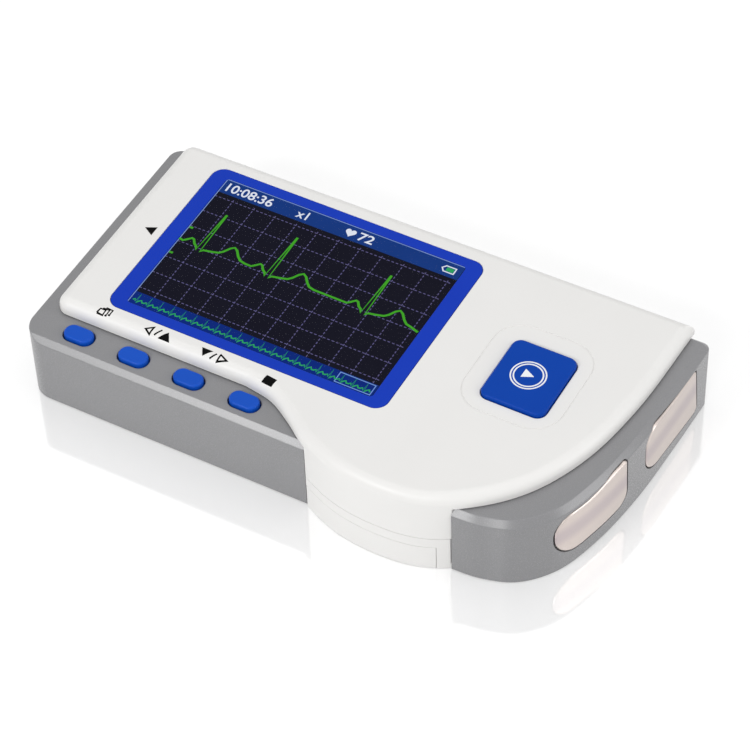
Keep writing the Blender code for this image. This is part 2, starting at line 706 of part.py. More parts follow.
def electrode(name, shares, path, y, right_side, proud, shell):
    """A steel plate that follows the wall, its pocket, and the stud that reaches the inside."""
    place, along = wall_point(path, y, right_side)
    out = Vector((along.y, -along.x, 0))
    outline = [((u - 0.5) * ELECTRODE_LENGTH, v * ELECTRODE_HEIGHT, r * ELECTRODE_HEIGHT)
               for u, v, r in shares]
    reach = 2 * OVERRUN
    frame = Matrix(((along.x, 0, out.x, place.x), (along.y, 0, out.y, place.y),
                    (0, 1, 0, ELECTRODE_FOOT), (0, 0, 0, 1)))
    plate = prism(name, rounded(outline), -reach, reach)
    plate.data.transform(frame)
    pocket = prism(name + "_pocket", rounded(inset(outline, -GAP)), -reach, reach)
    pocket.data.transform(frame)
    outside = inset(path, -proud)
    behind = inset(path, ELECTRODE_THICKNESS - proud)
    floor = inset(path, ELECTRODE_THICKNESS - proud + GAP)
    boolean(plate, prism(name + "_face", rounded(outside), -OVERRUN, HEIGHT), "INTERSECT")
    cut(plate, prism(name + "_back", rounded(behind), -2 * OVERRUN, HEIGHT + OVERRUN))
    cut(pocket, prism(name + "_floor", rounded(floor), -2 * OVERRUN, HEIGHT + OVERRUN))
    middle = Vector((place.x, place.y, ELECTRODE_FOOT + ELECTRODE_HEIGHT / 2))
    stud_base = middle - out * (ELECTRODE_THICKNESS / 2)
    stud = cylinder(name + "_stud", stud_base, STUD_RADIUS, STUD_LENGTH, -out, SMALL_SIDES)
    hole = cylinder(name + "_hole", stud_base, STUD_RADIUS + GAP, reach, -out, SMALL_SIDES)
    join(plate, stud)
    cut(shell, pocket, hole)
    finish(plate, STEEL)
    return stud_base - out * (STUD_LENGTH + GAP), out


def electrode_wire(name, start, out, pad_x, pad_y):
    """A wire from an electrode's stud up to the main board."""
    end = Vector((pad_x, pad_y, BOARD_TOP + GAP + WIRE_RADIUS))
    run = -out * SIDE_WALL
    points = []
    for share in WIRE_RISE_SHARES:
        rise = share * share * (3 - 2 * share)
        flat = (start + run * share).lerp(end, share)
        points.append(Vector((flat.x, flat.y, start.z + (end.z - start.z) * rise)))
    return tube(name, points, WIRE_RADIUS, INSULATION)


def make_sides():
    """Left bumper, end cap, the three electrodes and their wires."""
    left, right = left_path(), right_path()
    bumper = side_piece("left_bumper", left, BUMPER_EDGE, LEFT_CUT, LENGTH, LEFT_BACK, LENGTH)
    cut(bumper, front_chamfer())
    cap = side_piece("end_cap", right, CAP_CHAMFER, -LENGTH, RIGHT_CUT, -LENGTH, RIGHT_BACK)
    for number in range(KEY_COUNT):
        hole = rectangle(KEY_LENGTH + 2 * GAP, KEY_DEPTH + 2 * GAP, KEY_CORNER + GAP,
                         (key_x(number), KEY_Y))
        cut(bumper, prism(f"key_hole_{number + 1}", rounded(hole, SMALL_STEPS),
                          LEDGE_UNDER - OVERRUN, LEDGE + OVERRUN))
    plans = (
        ("front_finger_electrode", FRONT_ELECTRODE_SHARES, right, FRONT_ELECTRODE_Y_SHARE,
         FRONT_PAD_Y_SHARE, ELECTRODE_PROUD, cap),
        ("rear_finger_electrode", REAR_ELECTRODE_SHARES, right, REAR_ELECTRODE_Y_SHARE,
         REAR_ELECTRODE_Y_SHARE, ELECTRODE_PROUD, cap),
        ("left_electrode", LEFT_ELECTRODE_SHARES, left, LEFT_ELECTRODE_Y_SHARE,
         LEFT_ELECTRODE_Y_SHARE, 0, bumper))
    for name, shares, path, y_share, pad_share, proud, shell in plans:
        right_side = shell is cap
        tip, out = electrode(name, shares, path, y_share * DEPTH, right_side, proud, shell)
        pad_x = BOARD_RIGHT - POST_RADIUS if right_side else BOARD_LEFT + POST_RADIUS
        electrode_wire(name + "_wire", tip, out, pad_x, pad_share * DEPTH)
    finish(bumper, GREY)
    finish(cap, GREY)


# Covers

def make_top_cover():
    """White upper shell, open below, with its front and end walls cut away over the ledges."""
    path = white_path()
    cover = prism("top_cover", rounded(path), PART_LINE, HEIGHT, rim=RIM_RADIUS)
    hollow = prism("top_hollow", rounded(inset(path, COVER_WALL)), -OVERRUN, CEILING)
    skirt = LEDGE + GAP
    over_left = box("over_left_ledge", (-LENGTH, -DEPTH, -OVERRUN),
                    (WHITE_LEFT + COVER_WALL + BITE, HALF_DEPTH - 2 * COVER_WALL, skirt))
    over_left_corner = box("over_left_corner", (-LENGTH, -DEPTH, -OVERRUN),
                           (LEFT_BACK + GAP, DEPTH, skirt))
    over_keys = box("over_key_ledge", (-LENGTH, -DEPTH, -OVERRUN),
                    (LEFT_CUT + GAP, KEY_Y + LEDGE_DEPTH, skirt))
    over_cap = box("over_cap", (RIGHT_CUT - GAP, -DEPTH, -OVERRUN),
                   (LENGTH, HALF_DEPTH - 2 * COVER_WALL, skirt))
    over_corner = box("over_cap_corner", (RIGHT_BACK - GAP, -DEPTH, -OVERRUN),
                      (LENGTH, DEPTH, skirt))
    cut(cover, hollow, over_left, over_left_corner, over_keys, over_cap, over_corner)
    for number, (x, y) in enumerate(screw_places()):
        boss = cylinder(f"upper_boss_{number + 1}", (x, y, PART_LINE), UPPER_BOSS_RADIUS,
                        CEILING + BITE - PART_LINE, sides=ROUND_SIDES)
        join(cover, boss)
    for number, (x, y) in enumerate(screw_places()):
        pilot = cylinder(f"pilot_{number + 1}", (x, y, 0), SCREW_RADIUS + GAP,
                         HEAD_DEPTH + HEAD_HEIGHT + SCREW_LENGTH + GAP, sides=SMALL_SIDES)
        cut(cover, pilot)
    recess = rectangle(FRAME_LENGTH + 2 * GAP, FRAME_DEPTH + 2 * GAP, FRAME_CORNER + GAP,
                       DISPLAY_CENTRE)
    opening = rectangle(PANEL_LENGTH + 2 * GAP, PANEL_DEPTH + 2 * GAP, HOLDER_CORNER,
                        DISPLAY_CENTRE)
    button = rectangle(START_LENGTH + 2 * GAP, START_DEPTH + 2 * GAP, START_CORNER + GAP,
                       START_CENTRE)
    cut(cover,
        prism("display_recess", rounded(recess), FRAME_BOTTOM - GAP, HEIGHT + OVERRUN),
        prism("display_opening", rounded(opening, SMALL_STEPS), CEILING - OVERRUN, HEIGHT + OVERRUN),
        prism("button_hole", rounded(button), CEILING - OVERRUN, HEIGHT + OVERRUN))
    line = prism("pad_line", rounded(rectangle(PAD_LENGTH, PAD_DEPTH, PAD_CORNER, PAD_CENTRE)),
                 HEIGHT - PAD_LINE_DEPTH, HEIGHT + OVERRUN)
    inside = rectangle(PAD_LENGTH - 2 * PAD_LINE, PAD_DEPTH - 2 * PAD_LINE,
                       PAD_CORNER - PAD_LINE, PAD_CENTRE)
    cut(line, prism("pad_inside", rounded(inside), HEIGHT - OVERRUN, HEIGHT + 2 * OVERRUN))
    x = SOCKET_X_SHARE * LENGTH
    socket_low = BOARD_TOP
    port = box("socket_port",
               (x - SOCKET_WIDTH / 2 - GAP, HALF_DEPTH - 2 * COVER_WALL, socket_low),
               (x + SOCKET_WIDTH / 2 + GAP, HALF_DEPTH + OVERRUN, socket_low + SOCKET_HEIGHT + 2 * GAP))
    cut(cover, line, port)
    return finish(cover, WHITE)


def base_path():
    """The bottom cover seen from below: inside the grey walls, and out to the white ones."""
    inner_left = -HALF_LENGTH + SIDE_WALL + GAP
    inner_front = FRONT + SIDE_WALL + GAP
    inner_back = HALF_DEPTH - SIDE_WALL - GAP
    cap_inner = [Vector(point[:2]) for point in inset(right_path(), SIDE_WALL + GAP)][1:-1]
    cap_low = between(cap_inner, RIGHT_CUT - GAP, LENGTH)
    corner_x = cap_low[-1].x
    return [
        (LEFT_BACK + GAP, HALF_DEPTH, 0), (LEFT_BACK + GAP, inner_back, 0),
        (inner_left, inner_back, LEFT_BACK_CORNER - SIDE_WALL - GAP),
        (inner_left, inner_front, LEFT_CORNER - SIDE_WALL - GAP),
        (LEFT_CUT + GAP, inner_front, 0),
        *corners(between(white_front_curve(), LEFT_CUT + GAP, RIGHT_CUT - GAP)),
        *corners([point for point in cap_low if point.y < inner_back]),
        (corner_x, inner_back, RIGHT_BACK_CORNER - SIDE_WALL - GAP),
        (RIGHT_BACK - GAP, inner_back, 0),
        (RIGHT_BACK - GAP, HALF_DEPTH, 0)]


def make_bottom_cover():
    """White lower tray: base plate, bulge wall, back wall, posts, bosses and the battery bay."""
    wall_top = PART_LINE - GAP
    cover = prism("bottom_cover", rounded(base_path()), 0, wall_top)
    bulge_inner = [Vector(point[:2]) for point in inset(white_path(), COVER_WALL)][2:-1]
    back_inner = HALF_DEPTH - COVER_WALL
    hollow = [
        Vector((-LENGTH, back_inner)), Vector((-LENGTH, -DEPTH)),
        Vector((LEFT_CUT + GAP, -DEPTH)), *between(bulge_inner, LEFT_CUT + GAP, RIGHT_CUT - GAP),
        Vector((RIGHT_CUT - GAP, -DEPTH)), Vector((LENGTH, -DEPTH)), Vector((LENGTH, back_inner))]
    cut(cover, prism("bottom_hollow", hollow, BASE_PLATE, HEIGHT))
    bay_low, bay_high = BAY_CENTRE - BAY_HALF, BAY_CENTRE + BAY_HALF
    bay_top = BOARD_BOTTOM - GAP
    bay_outer = box("bay_outer", (bay_low - BAY_WALL, -HALF_DEPTH, BASE_PLATE - BITE),
                    (bay_high + BAY_WALL, BAY_BACK + BAY_WALL, bay_top))
    trim = prism("bay_trim", rounded(inset(white_path(), COVER_WALL - BITE)), 0, wall_top)
    join(trim, prism("bay_trim_top", rounded(inset(white_path(), COVER_WALL + GAP)),
                     wall_top - BITE, HEIGHT))
    boolean(bay_outer, trim, "INTERSECT")
    bay_inner = box("bay_inner", (bay_low, -DEPTH, -OVERRUN), (bay_high, BAY_BACK, HEIGHT))
    keep_wall = prism("bay_front_keep", rounded(inset(white_path(), COVER_WALL)), -DEPTH, DEPTH)
    boolean(bay_inner, keep_wall, "INTERSECT")
    join(cover, bay_outer)
    cut(cover, bay_inner)
    for number, (x, y) in enumerate(screw_places()):
        join(cover, cylinder(f"lower_boss_{number + 1}", (x, y, BASE_PLATE - BITE),
                             LOWER_BOSS_RADIUS, wall_top - BASE_PLATE + BITE))
    for number, (u, v) in enumerate(BOARD_POST_SHARES):
        join(cover, cylinder(f"board_post_{number + 1}", (u * LENGTH, v * DEPTH, BASE_PLATE - BITE),
                             POST_RADIUS, BOARD_BOTTOM - GAP - BASE_PLATE + BITE, sides=SMALL_SIDES))
    for number, u in enumerate(KEY_POST_SHARES):
        join(cover, cylinder(f"key_post_{number + 1}",
                             (u * LENGTH, FRONT + KEY_POST_SETBACK, BASE_PLATE - BITE),
                             POST_RADIUS, KEY_BOARD_BOTTOM - GAP - BASE_PLATE + BITE,
                             sides=SMALL_SIDES))
    for number, (x, y) in enumerate(screw_places()):
        cut(cover,
            cylinder(f"head_bore_{number + 1}", (x, y, -OVERRUN), HEAD_RADIUS + GAP,
                     OVERRUN + HEAD_DEPTH + HEAD_HEIGHT + GAP, sides=ROUND_SIDES),
            cylinder(f"shank_bore_{number + 1}", (x, y, 0), SCREW_RADIUS + GAP, HEIGHT,
                     sides=SMALL_SIDES))
    centre_x, centre_y = BUZZER_CENTRE
    for number in range(SOUND_HOLES):
        angle = 2 * math.pi * number / SOUND_HOLES
        place = (centre_x + SOUND_HOLE_RING * math.cos(angle),
                 centre_y + SOUND_HOLE_RING * math.sin(angle), -OVERRUN)
        cut(cover, cylinder(f"sound_hole_{number + 1}", place, SOUND_HOLE_RADIUS,
                            2 * OVERRUN, sides=SMALL_SIDES))
    cut(cover, *door_room())
    return finish(cover, WHITE)


def door_room():
    """The room that the door's wall and panel need in the bottom cover, with clearance."""
    right = DOOR_RIGHT + GAP
    inner = [Vector(point[:2]) for point in inset(white_path(), DOOR_WALL + GAP)][2:-1]
    outer = [Vector((point.x, point.y - OVERRUN)) for point in white_front_curve()]
    wall = prism("door_wall_room",
                 between(outer, LEFT_CUT, right) + between(inner, LEFT_CUT, right)[::-1],
                 -OVERRUN, DOOR_TOP + GAP)
    panel = box("door_panel_room", (BAY_CENTRE - BAY_HALF, -DEPTH, -OVERRUN),
                (BAY_CENTRE + BAY_HALF, BAY_BACK, BASE_PLATE))
    return wall, panel


def door_solids():
    """The door's curved wall and the panel behind it."""
    inner = [Vector(point[:2]) for point in inset(white_path(), DOOR_WALL)][2:-1]
    front = between(white_front_curve(), DOOR_LEFT, DOOR_RIGHT)
    rear = between(inner, DOOR_LEFT, DOOR_RIGHT)
    wall = prism("battery_door", front + rear[::-1], DOOR_LIFT, DOOR_TOP)
    half = BAY_HALF - GAP
    panel = box("door_panel", (BAY_CENTRE - half, -HALF_DEPTH + BITE, DOOR_LIFT),
                (BAY_CENTRE + half, BAY_BACK - GAP, BASE_PLATE))
    return wall, panel


def make_battery_door():
    """White door: the front wall of the bulge and the panel under the cells, in one piece."""
    wall, panel = door_solids()
    trim = prism("door_trim", rounded(inset(white_path(), BITE)), -OVERRUN, HEIGHT)
    boolean(panel, trim, "INTERSECT")
    join(wall, panel)
    return finish(wall, WHITE)


# Display

def plate(name, length, depth, radius, bottom, top, centre, finish_material, rim=0.0):
    """A flat rounded plate."""
    steps = CORNER_STEPS if radius > HOLDER_CORNER else SMALL_STEPS
    made = prism(name, rounded(rectangle(length, depth, radius, centre), steps), bottom, top,
                 rim=rim, rim_steps=2, origin=(*centre, bottom))
    return finish(made, finish_material)


def make_display():
    """Frame, lens, panel, backlight, holder and ribbon, from the top down."""
    frame = plate("display_frame", FRAME_LENGTH, FRAME_DEPTH, FRAME_CORNER, FRAME_BOTTOM,
                  FRAME_TOP, DISPLAY_CENTRE, BLUE)
    window = rectangle(WINDOW_LENGTH, WINDOW_DEPTH, WINDOW_CORNER, DISPLAY_CENTRE)
    cut(frame, prism("window", rounded(window, SMALL_STEPS), 0, HEIGHT + OVERRUN))
    plate("display_lens", WINDOW_LENGTH - 2 * GAP, WINDOW_DEPTH - 2 * GAP, WINDOW_CORNER - GAP,
          FRAME_BOTTOM, FRAME_BOTTOM + LENS_THICKNESS, DISPLAY_CENTRE, GLASS)
    plate("display_panel", PANEL_LENGTH, PANEL_DEPTH, 0.0, PANEL_BOTTOM, PANEL_TOP,
          DISPLAY_CENTRE, PANEL)
    plate("display_backlight", PANEL_LENGTH, PANEL_DEPTH, 0.0, BACKLIGHT_BOTTOM, BACKLIGHT_TOP,
          DISPLAY_CENTRE, WHITE)
    rim = 2 * (GAP + HOLDER_WALL)
    holder = plate("display_holder", PANEL_LENGTH + rim, PANEL_DEPTH + rim, HOLDER_CORNER,
                   HOLDER_BOTTOM, CEILING - GAP, DISPLAY_CENTRE, BLACK)
    x, y = DISPLAY_CENTRE
    inner_x, inner_y = PANEL_LENGTH / 2 + GAP, PANEL_DEPTH / 2 + GAP
    slot_half = RIBBON_WIDTH / 2 + GAP
    cut(holder,
        box("holder_inside", (x - inner_x, y - inner_y, HOLDER_BOTTOM + HOLDER_FLOOR),
            (x + inner_x, y + inner_y, HEIGHT)),
        box("holder_slot", (x + inner_x - BITE, y - slot_half, PANEL_BOTTOM - GAP),
            (x + inner_x + OVERRUN, y + slot_half, HEIGHT)))
    start = x + PANEL_LENGTH / 2 + GAP
    upper = CEILING - GAP - RIBBON_THICKNESS / 2
    lower = BOARD_TOP + GAP + RIBBON_THICKNESS / 2
    profile = [(start, upper), (start + RIBBON_REACH, upper), (start + RIBBON_REACH, lower),
               (start + RIBBON_REACH + RIBBON_FOOT, lower)]
    strip("display_ribbon", profile, -y - RIBBON_WIDTH / 2, -y + RIBBON_WIDTH / 2, "Y", RIBBON)


# Buttons and switches

def key_x(number):
    """The x of an oval key's middle."""
    return KEY_FIRST + number * KEY_PITCH


def make_keys():
    """Four oval keys on the ledge, with a flange below it that keeps each one in."""
    names = ("page_key", "left_up_key", "down_right_key", "stop_key")
    for number, name in enumerate(names[:KEY_COUNT]):
        centre = (key_x(number), KEY_Y)
        path = rectangle(KEY_LENGTH, KEY_DEPTH, KEY_CORNER, centre)
        key = prism(name, rounded(path), KEY_STEM, KEY_TOP, rim=KEY_EDGE, rim_steps=2,
                    origin=(*centre, LEDGE))
        flange = rectangle(KEY_FLANGE_LENGTH, KEY_FLANGE_DEPTH, KEY_CORNER, centre)
        join(key, prism(name + "_flange", rounded(flange, SMALL_STEPS), KEY_FLANGE_BOTTOM,
                        KEY_FLANGE_TOP))
        finish(key, BLUE)
        tact_switch(name + "_switch", centre, SWITCH_SIDE, SWITCH_BODY, PLUNGER_RADIUS,
                    KEY_SWITCH_BOTTOM, KEY_SWITCH_TOP)


def tact_switch(name, centre, side, body, plunger, bottom, top):
    """A square switch with a round plunger."""
    x, y = centre
    made = box(name, (x - side / 2, y - side / 2, bottom), (x + side / 2, y + side / 2, bottom + body))
    join(made, cylinder(name + "_plunger", (x, y, bottom + body - PRESS_MARGIN), plunger,
                        top - bottom - body + PRESS_MARGIN, sides=SMALL_SIDES))
    return finish(made, BLACK)


def make_start_button():
    """Square start button: a hollow cap with a flange and a stem over its switch."""
    path = rectangle(START_LENGTH, START_DEPTH, START_CORNER, START_CENTRE)
    button = prism("start_button", rounded(path), START_FLANGE_BOTTOM, START_TOP,
                   rim=START_EDGE, rim_steps=2, origin=(*START_CENTRE, HEIGHT))
    flange = rectangle(START_LENGTH + 2 * START_FLANGE, START_DEPTH + 2 * START_FLANGE,
                       START_CORNER, START_CENTRE)
    inside = rectangle(START_LENGTH - 2 * START_SKIN, START_DEPTH - 2 * START_SKIN, 0.0,
                       START_CENTRE)
    join(button, prism("start_flange", rounded(flange, SMALL_STEPS), START_FLANGE_BOTTOM,
                       START_FLANGE_TOP))
    cut(button, prism("start_inside", rounded(inside), START_FLANGE_BOTTOM - OVERRUN,
                      START_TOP - START_SKIN))
    join(button, cylinder("start_stem", (*START_CENTRE, START_STEM), START_STEM_RADIUS,
                          START_TOP - START_SKIN + BITE - START_STEM, sides=SMALL_SIDES))
    finish(button, BLUE)
    tact_switch("start_switch", START_CENTRE, START_SWITCH_SIDE, START_SWITCH_BODY,
                START_PLUNGER_RADIUS, BOARD_TOP + GAP, START_SWITCH_TOP)


# Boards and electronics

def make_boards():
    """Main board, key board, the ribbon between them and the larger components."""
    middle = ((BOARD_LEFT + BOARD_RIGHT) / 2, (BOARD_FRONT + BOARD_BACK) / 2)
    plate("main_board", BOARD_RIGHT - BOARD_LEFT, BOARD_BACK - BOARD_FRONT, BOARD_CORNER,
          BOARD_BOTTOM, BOARD_TOP, middle, BOARD)
    key_left = key_x(0) - KEY_BOARD_MARGIN
    key_right = key_x(KEY_COUNT - 1) + KEY_BOARD_MARGIN
    key_front = FRONT + KEY_BOARD_SETBACK
    key_back = key_front + KEY_BOARD_DEPTH
    plate("key_board", key_right - key_left, KEY_BOARD_DEPTH, KEY_BOARD_CORNER,
          KEY_BOARD_BOTTOM, KEY_BOARD_TOP,
          ((key_left + key_right) / 2, key_front + KEY_BOARD_DEPTH / 2), BOARD)
    low = KEY_BOARD_BOTTOM - GAP - RIBBON_THICKNESS / 2
    high = BOARD_BOTTOM - GAP - RIBBON_THICKNESS / 2
    profile = [(key_back - BOARD_RIBBON_END, low), (key_back, low), (BOARD_FRONT, high),
               (BOARD_FRONT + BOARD_RIBBON_END, high)]
    x = BOARD_RIBBON_X_SHARE * LENGTH
    strip("board_ribbon", profile, x - BOARD_RIBBON_WIDTH / 2, x + BOARD_RIBBON_WIDTH / 2, "X",
          RIBBON)
    under = BOARD_BOTTOM - GAP
    chip_centre = (CHIP_CENTRE_SHARES[0] * LENGTH, CHIP_CENTRE_SHARES[1] * DEPTH)
    plate("processor_chip", CHIP_SIDE, CHIP_SIDE, 0.0, under - CHIP_THICKNESS, under, chip_centre,
          BLACK)
    shield_centre = (SHIELD_X_SHARE * LENGTH, BOARD_FRONT + SHIELD_SETBACK)
    plate("amplifier_shield", SHIELD_LENGTH, SHIELD_DEPTH, SHIELD_CORNER, under - SHIELD_HEIGHT,
          under, shield_centre, SPRING_STEEL)
    buzzer = cylinder("buzzer", (*BUZZER_CENTRE, under - BUZZER_HEIGHT), BUZZER_RADIUS,
                      BUZZER_HEIGHT)
    finish(buzzer, BLACK)
    socket_x = SOCKET_X_SHARE * LENGTH
    socket_back = HALF_DEPTH - GAP
    low = BOARD_TOP + GAP
    socket = box("data_socket", (socket_x - SOCKET_WIDTH / 2, socket_back - SOCKET_DEPTH, low),
                 (socket_x + SOCKET_WIDTH / 2, socket_back, low + SOCKET_HEIGHT))
    mouth = box("socket_mouth",
                (socket_x - SOCKET_WIDTH / 2 + SOCKET_WALL, socket_back - SOCKET_DEPTH + SOCKET_WALL,
                 low + SOCKET_WALL),
                (socket_x + SOCKET_WIDTH / 2 - SOCKET_WALL, socket_back + OVERRUN,
                 low + SOCKET_HEIGHT - SOCKET_WALL))
    cut(socket, mouth)
    tongue = box("socket_tongue",
                 (socket_x - SOCKET_WIDTH / 4, socket_back - SOCKET_DEPTH + SOCKET_WALL / 2,
                  low + SOCKET_HEIGHT / 2 - SOCKET_WALL / 2),
                 (socket_x + SOCKET_WIDTH / 4, socket_back - 2 * SOCKET_WALL,
                  low + SOCKET_HEIGHT / 2 + SOCKET_WALL / 2))
    join(socket, tongue)
    finish(socket, SPRING_STEEL)


# Battery bay

def make_cell(name, x, front, nub_forward):
    """One AAA cell lying along Y."""
    start = front if nub_forward else front + CELL_LENGTH
    sign = 1 if nub_forward else -1
    nub = cylinder(name + "_nub", (x, start, CELL_AXIS), NUB_RADIUS, NUB_LENGTH + BITE,
                   (0, sign, 0), SMALL_SIDES)
    body_length = CELL_LENGTH - NUB_LENGTH
    body = prism(name, rounded(circle_path(CELL_RADIUS, ROUND_SIDES)), -body_length / 2,
                 body_length / 2, rim=CELL_EDGE, rim_steps=1, foot=CELL_EDGE)
    middle = start + sign * (NUB_LENGTH + body_length / 2)
    body.data.transform(Matrix.Rotation(math.pi / 2, 4, "X"))
    body.data.transform(Matrix.Translation((x, middle, CELL_AXIS)))
    join(body, nub)
    return finish(body, CELL)


def circle_path(radius, sides):
    """A circle as a path without corner radii."""
    return [(radius * math.cos(2 * math.pi * i / sides), radius * math.sin(2 * math.pi * i / sides), 0)
            for i in range(sides)]


def coil(name, x, foot_y, direction):
    """A flat conical contact spring that stands on a contact plate."""
    turns_length = SPRING_LENGTH - SPRING_WIRE
    count = int(SPRING_TURNS * SPRING_STEPS)
    points = []
    for step in range(count + 1):
        share = step / count
        radius = CELL_RADIUS * (SPRING_FOOT_SHARE + (SPRING_TIP_SHARE - SPRING_FOOT_SHARE) * share)
        angle = 2 * math.pi * SPRING_TURNS * share
        along = foot_y + direction * (SPRING_WIRE / 2 + turns_length * share)
        points.append(Vector((x + radius * math.cos(angle), along,
                              CELL_AXIS + radius * math.sin(angle))))
    return tube(name, points, SPRING_WIRE / 2, SPRING_STEEL)


def make_power():
    """Two cells, the contact bridge in front of them, and two terminals with springs."""
    left_x, right_x = BAY_CENTRE - CELL_OFFSET, BAY_CENTRE + CELL_OFFSET
    make_cell("left_cell", left_x, BRIDGE_BACK + GAP, True)
    make_cell("right_cell", right_x, BRIDGE_BACK + 2 * GAP + SPRING_LENGTH, False)
    coil("rear_contact_spring", left_x, TERMINAL_FRONT - GAP, -1)
    coil("front_contact_spring", right_x, BRIDGE_BACK + GAP, 1)
    low, high = CELL_AXIS - CONTACT_SIDE / 2, CELL_AXIS + CONTACT_SIDE / 2
    bridge = box("contact_bridge", (BAY_CENTRE - BAY_HALF + GAP, BRIDGE_FRONT, low),
                 (BAY_CENTRE + BAY_HALF - GAP, BRIDGE_BACK, high))
    finish(bridge, SPRING_STEEL)
    for name, x in (("left_terminal", left_x), ("right_terminal", right_x)):
        terminal = box(name, (x - CONTACT_SIDE / 2, TERMINAL_FRONT, low),
                       (x + CONTACT_SIDE / 2, TERMINAL_BACK, high))
        finish(terminal, SPRING_STEEL)


# Fasteners

def screw_places():
    """The x and y of the case screws. The left ones stand just inside the bumper's foot."""
    left = -HALF_LENGTH + SIDE_WALL + FOOT_DEPTH + GAP + LOWER_BOSS_RADIUS
    return ([(left, v * DEPTH) for v in LEFT_SCREW_SHARES]
            + [(u * LENGTH, v * DEPTH) for u, v in RIGHT_SCREW_SHARES])


def make_screws():
    """Four screws that come up through the bottom cover into the top cover's bosses."""
    for number, (x, y) in enumerate(screw_places()):
        name = f"case_screw_{number + 1}"
        head = cylinder(name, (x, y, HEAD_DEPTH), HEAD_RADIUS, HEAD_HEIGHT, sides=ROUND_SIDES)
        join(head, cylinder(name + "_shank", (x, y, HEAD_DEPTH + HEAD_HEIGHT - BITE), SCREW_RADIUS,
                            SCREW_LENGTH + BITE, sides=SMALL_SIDES))
        for long_x, long_y in ((DRIVE_LENGTH, DRIVE_WIDTH), (DRIVE_WIDTH, DRIVE_LENGTH)):
            cut(head, box(name + "_drive", (x - long_x / 2, y - long_y / 2, 0),
                          (x + long_x / 2, y + long_y / 2, HEAD_DEPTH + DRIVE_DEPTH)))
        finish(head, SPRING_STEEL)


make_sides()
make_top_cover()
make_bottom_cover()
make_battery_door()
make_display()
make_keys()
make_start_button()
make_boards()
make_power()
make_screws()
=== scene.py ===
"""Looks of the portable ECG machine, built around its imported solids.

Lengths are in metres. X runs along the machine towards the finger electrodes, Y to its back
and Z up out of the display.
"""
import math

import bmesh
import bpy
from mathutils import Matrix, Vector


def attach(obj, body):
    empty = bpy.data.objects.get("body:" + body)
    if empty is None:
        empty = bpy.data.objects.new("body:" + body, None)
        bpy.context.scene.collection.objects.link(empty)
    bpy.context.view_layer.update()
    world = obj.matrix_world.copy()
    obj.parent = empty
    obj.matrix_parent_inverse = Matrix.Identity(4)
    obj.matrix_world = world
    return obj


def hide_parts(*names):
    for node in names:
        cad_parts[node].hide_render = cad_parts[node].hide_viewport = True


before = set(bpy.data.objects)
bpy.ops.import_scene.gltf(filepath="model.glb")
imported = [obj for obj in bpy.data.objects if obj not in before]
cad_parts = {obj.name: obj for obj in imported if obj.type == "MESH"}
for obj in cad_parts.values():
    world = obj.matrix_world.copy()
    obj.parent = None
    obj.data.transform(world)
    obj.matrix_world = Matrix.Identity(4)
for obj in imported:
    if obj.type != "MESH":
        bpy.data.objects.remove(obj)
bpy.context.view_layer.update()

MM = 0.001

# Sizes of the solids that these pieces stand for
LENGTH = 125.0 * MM
DEPTH = 66.2 * MM
HEIGHT = 21.0 * MM
RIM_ROUND = 2.4 * MM
GAP = 0.3 * MM
CEILING = HEIGHT - 2.0 * MM
LEDGE = HEIGHT - 3.5 * MM
LEDGE_UNDER = LEDGE - 1.2 * MM
PART_LINE = 9.0 * MM
FOOT_GAP = 0.15 * MM
SEAM = 0.12 * MM
CAP_SEAM = 0.05 * MM
HALF_LENGTH = LENGTH / 2
HALF_DEPTH = DEPTH / 2
FRONT = -HALF_DEPTH + 4.8 * MM
WHITE_FRONT = FRONT + 8.3 * MM
WHITE_LEFT = -HALF_LENGTH + 3.25 * MM
LEFT_CUT = 0.0296 * LENGTH
RIGHT_CUT = 0.2952 * LENGTH
LEFT_BACK = -HALF_LENGTH + 4.2 * MM
BACK_LEFT = HALF_DEPTH - 0.3 * MM
BACK_RIGHT = HALF_DEPTH + 0.7 * MM
RIGHT_BACK = HALF_LENGTH - 6.0 * MM
BACK_STRIP = HALF_DEPTH - 4 * MM
BAY_CENTRE = 0.152 * LENGTH
BAY_BACK = 19.9 * MM
BAY_WALL = 1.2 * MM
BAY_TOP = 12.4 * MM
SIDE_WALL = 1.8 * MM
COVER_WALL = 2.0 * MM
BASE_PLATE = 1.6 * MM

# Places well outside the machine, for tools that cut right through it
FAR = 2 * LENGTH
BELOW = -5 * MM

# Curves of the case, as shares of half the length and of a depth
BULGE_FALL = (
    (-0.224, 0.0), (-0.122, 0.099), (-0.035, 0.336), (0.058, 0.641), (0.192, 0.908), (0.36, 1.0))
BULGE_RISE = (
    (0.512, 0.021), (0.656, 0.103), (0.774, 0.222), (0.864, 0.402), (0.915, 0.642), (0.936, 1.0))
CAP_WALL = (
    (0.5, -0.022), (0.59, -0.021), (0.691, -0.012), (0.797, 0.028), (0.885, 0.126),
    (0.942, 0.29), (0.978, 0.51), (0.992, 0.754), (1.0, 1.0))

SPAN_STEPS = 10
CORNER_STEPS = 12
TINY = 0.004 * MM
SHARP_ANGLE = 0.35
SMOOTH_ANGLE = math.radians(32)


# Selecting and shaping

def select_only(piece):
    """Make one piece the only selected and the active one, in object mode."""
    active = bpy.context.view_layer.objects.active
    if active and active.mode != "OBJECT":
        bpy.ops.object.mode_set(mode="OBJECT")
    bpy.ops.object.select_all(action="DESELECT")
    piece.select_set(True)
    bpy.context.view_layer.objects.active = piece


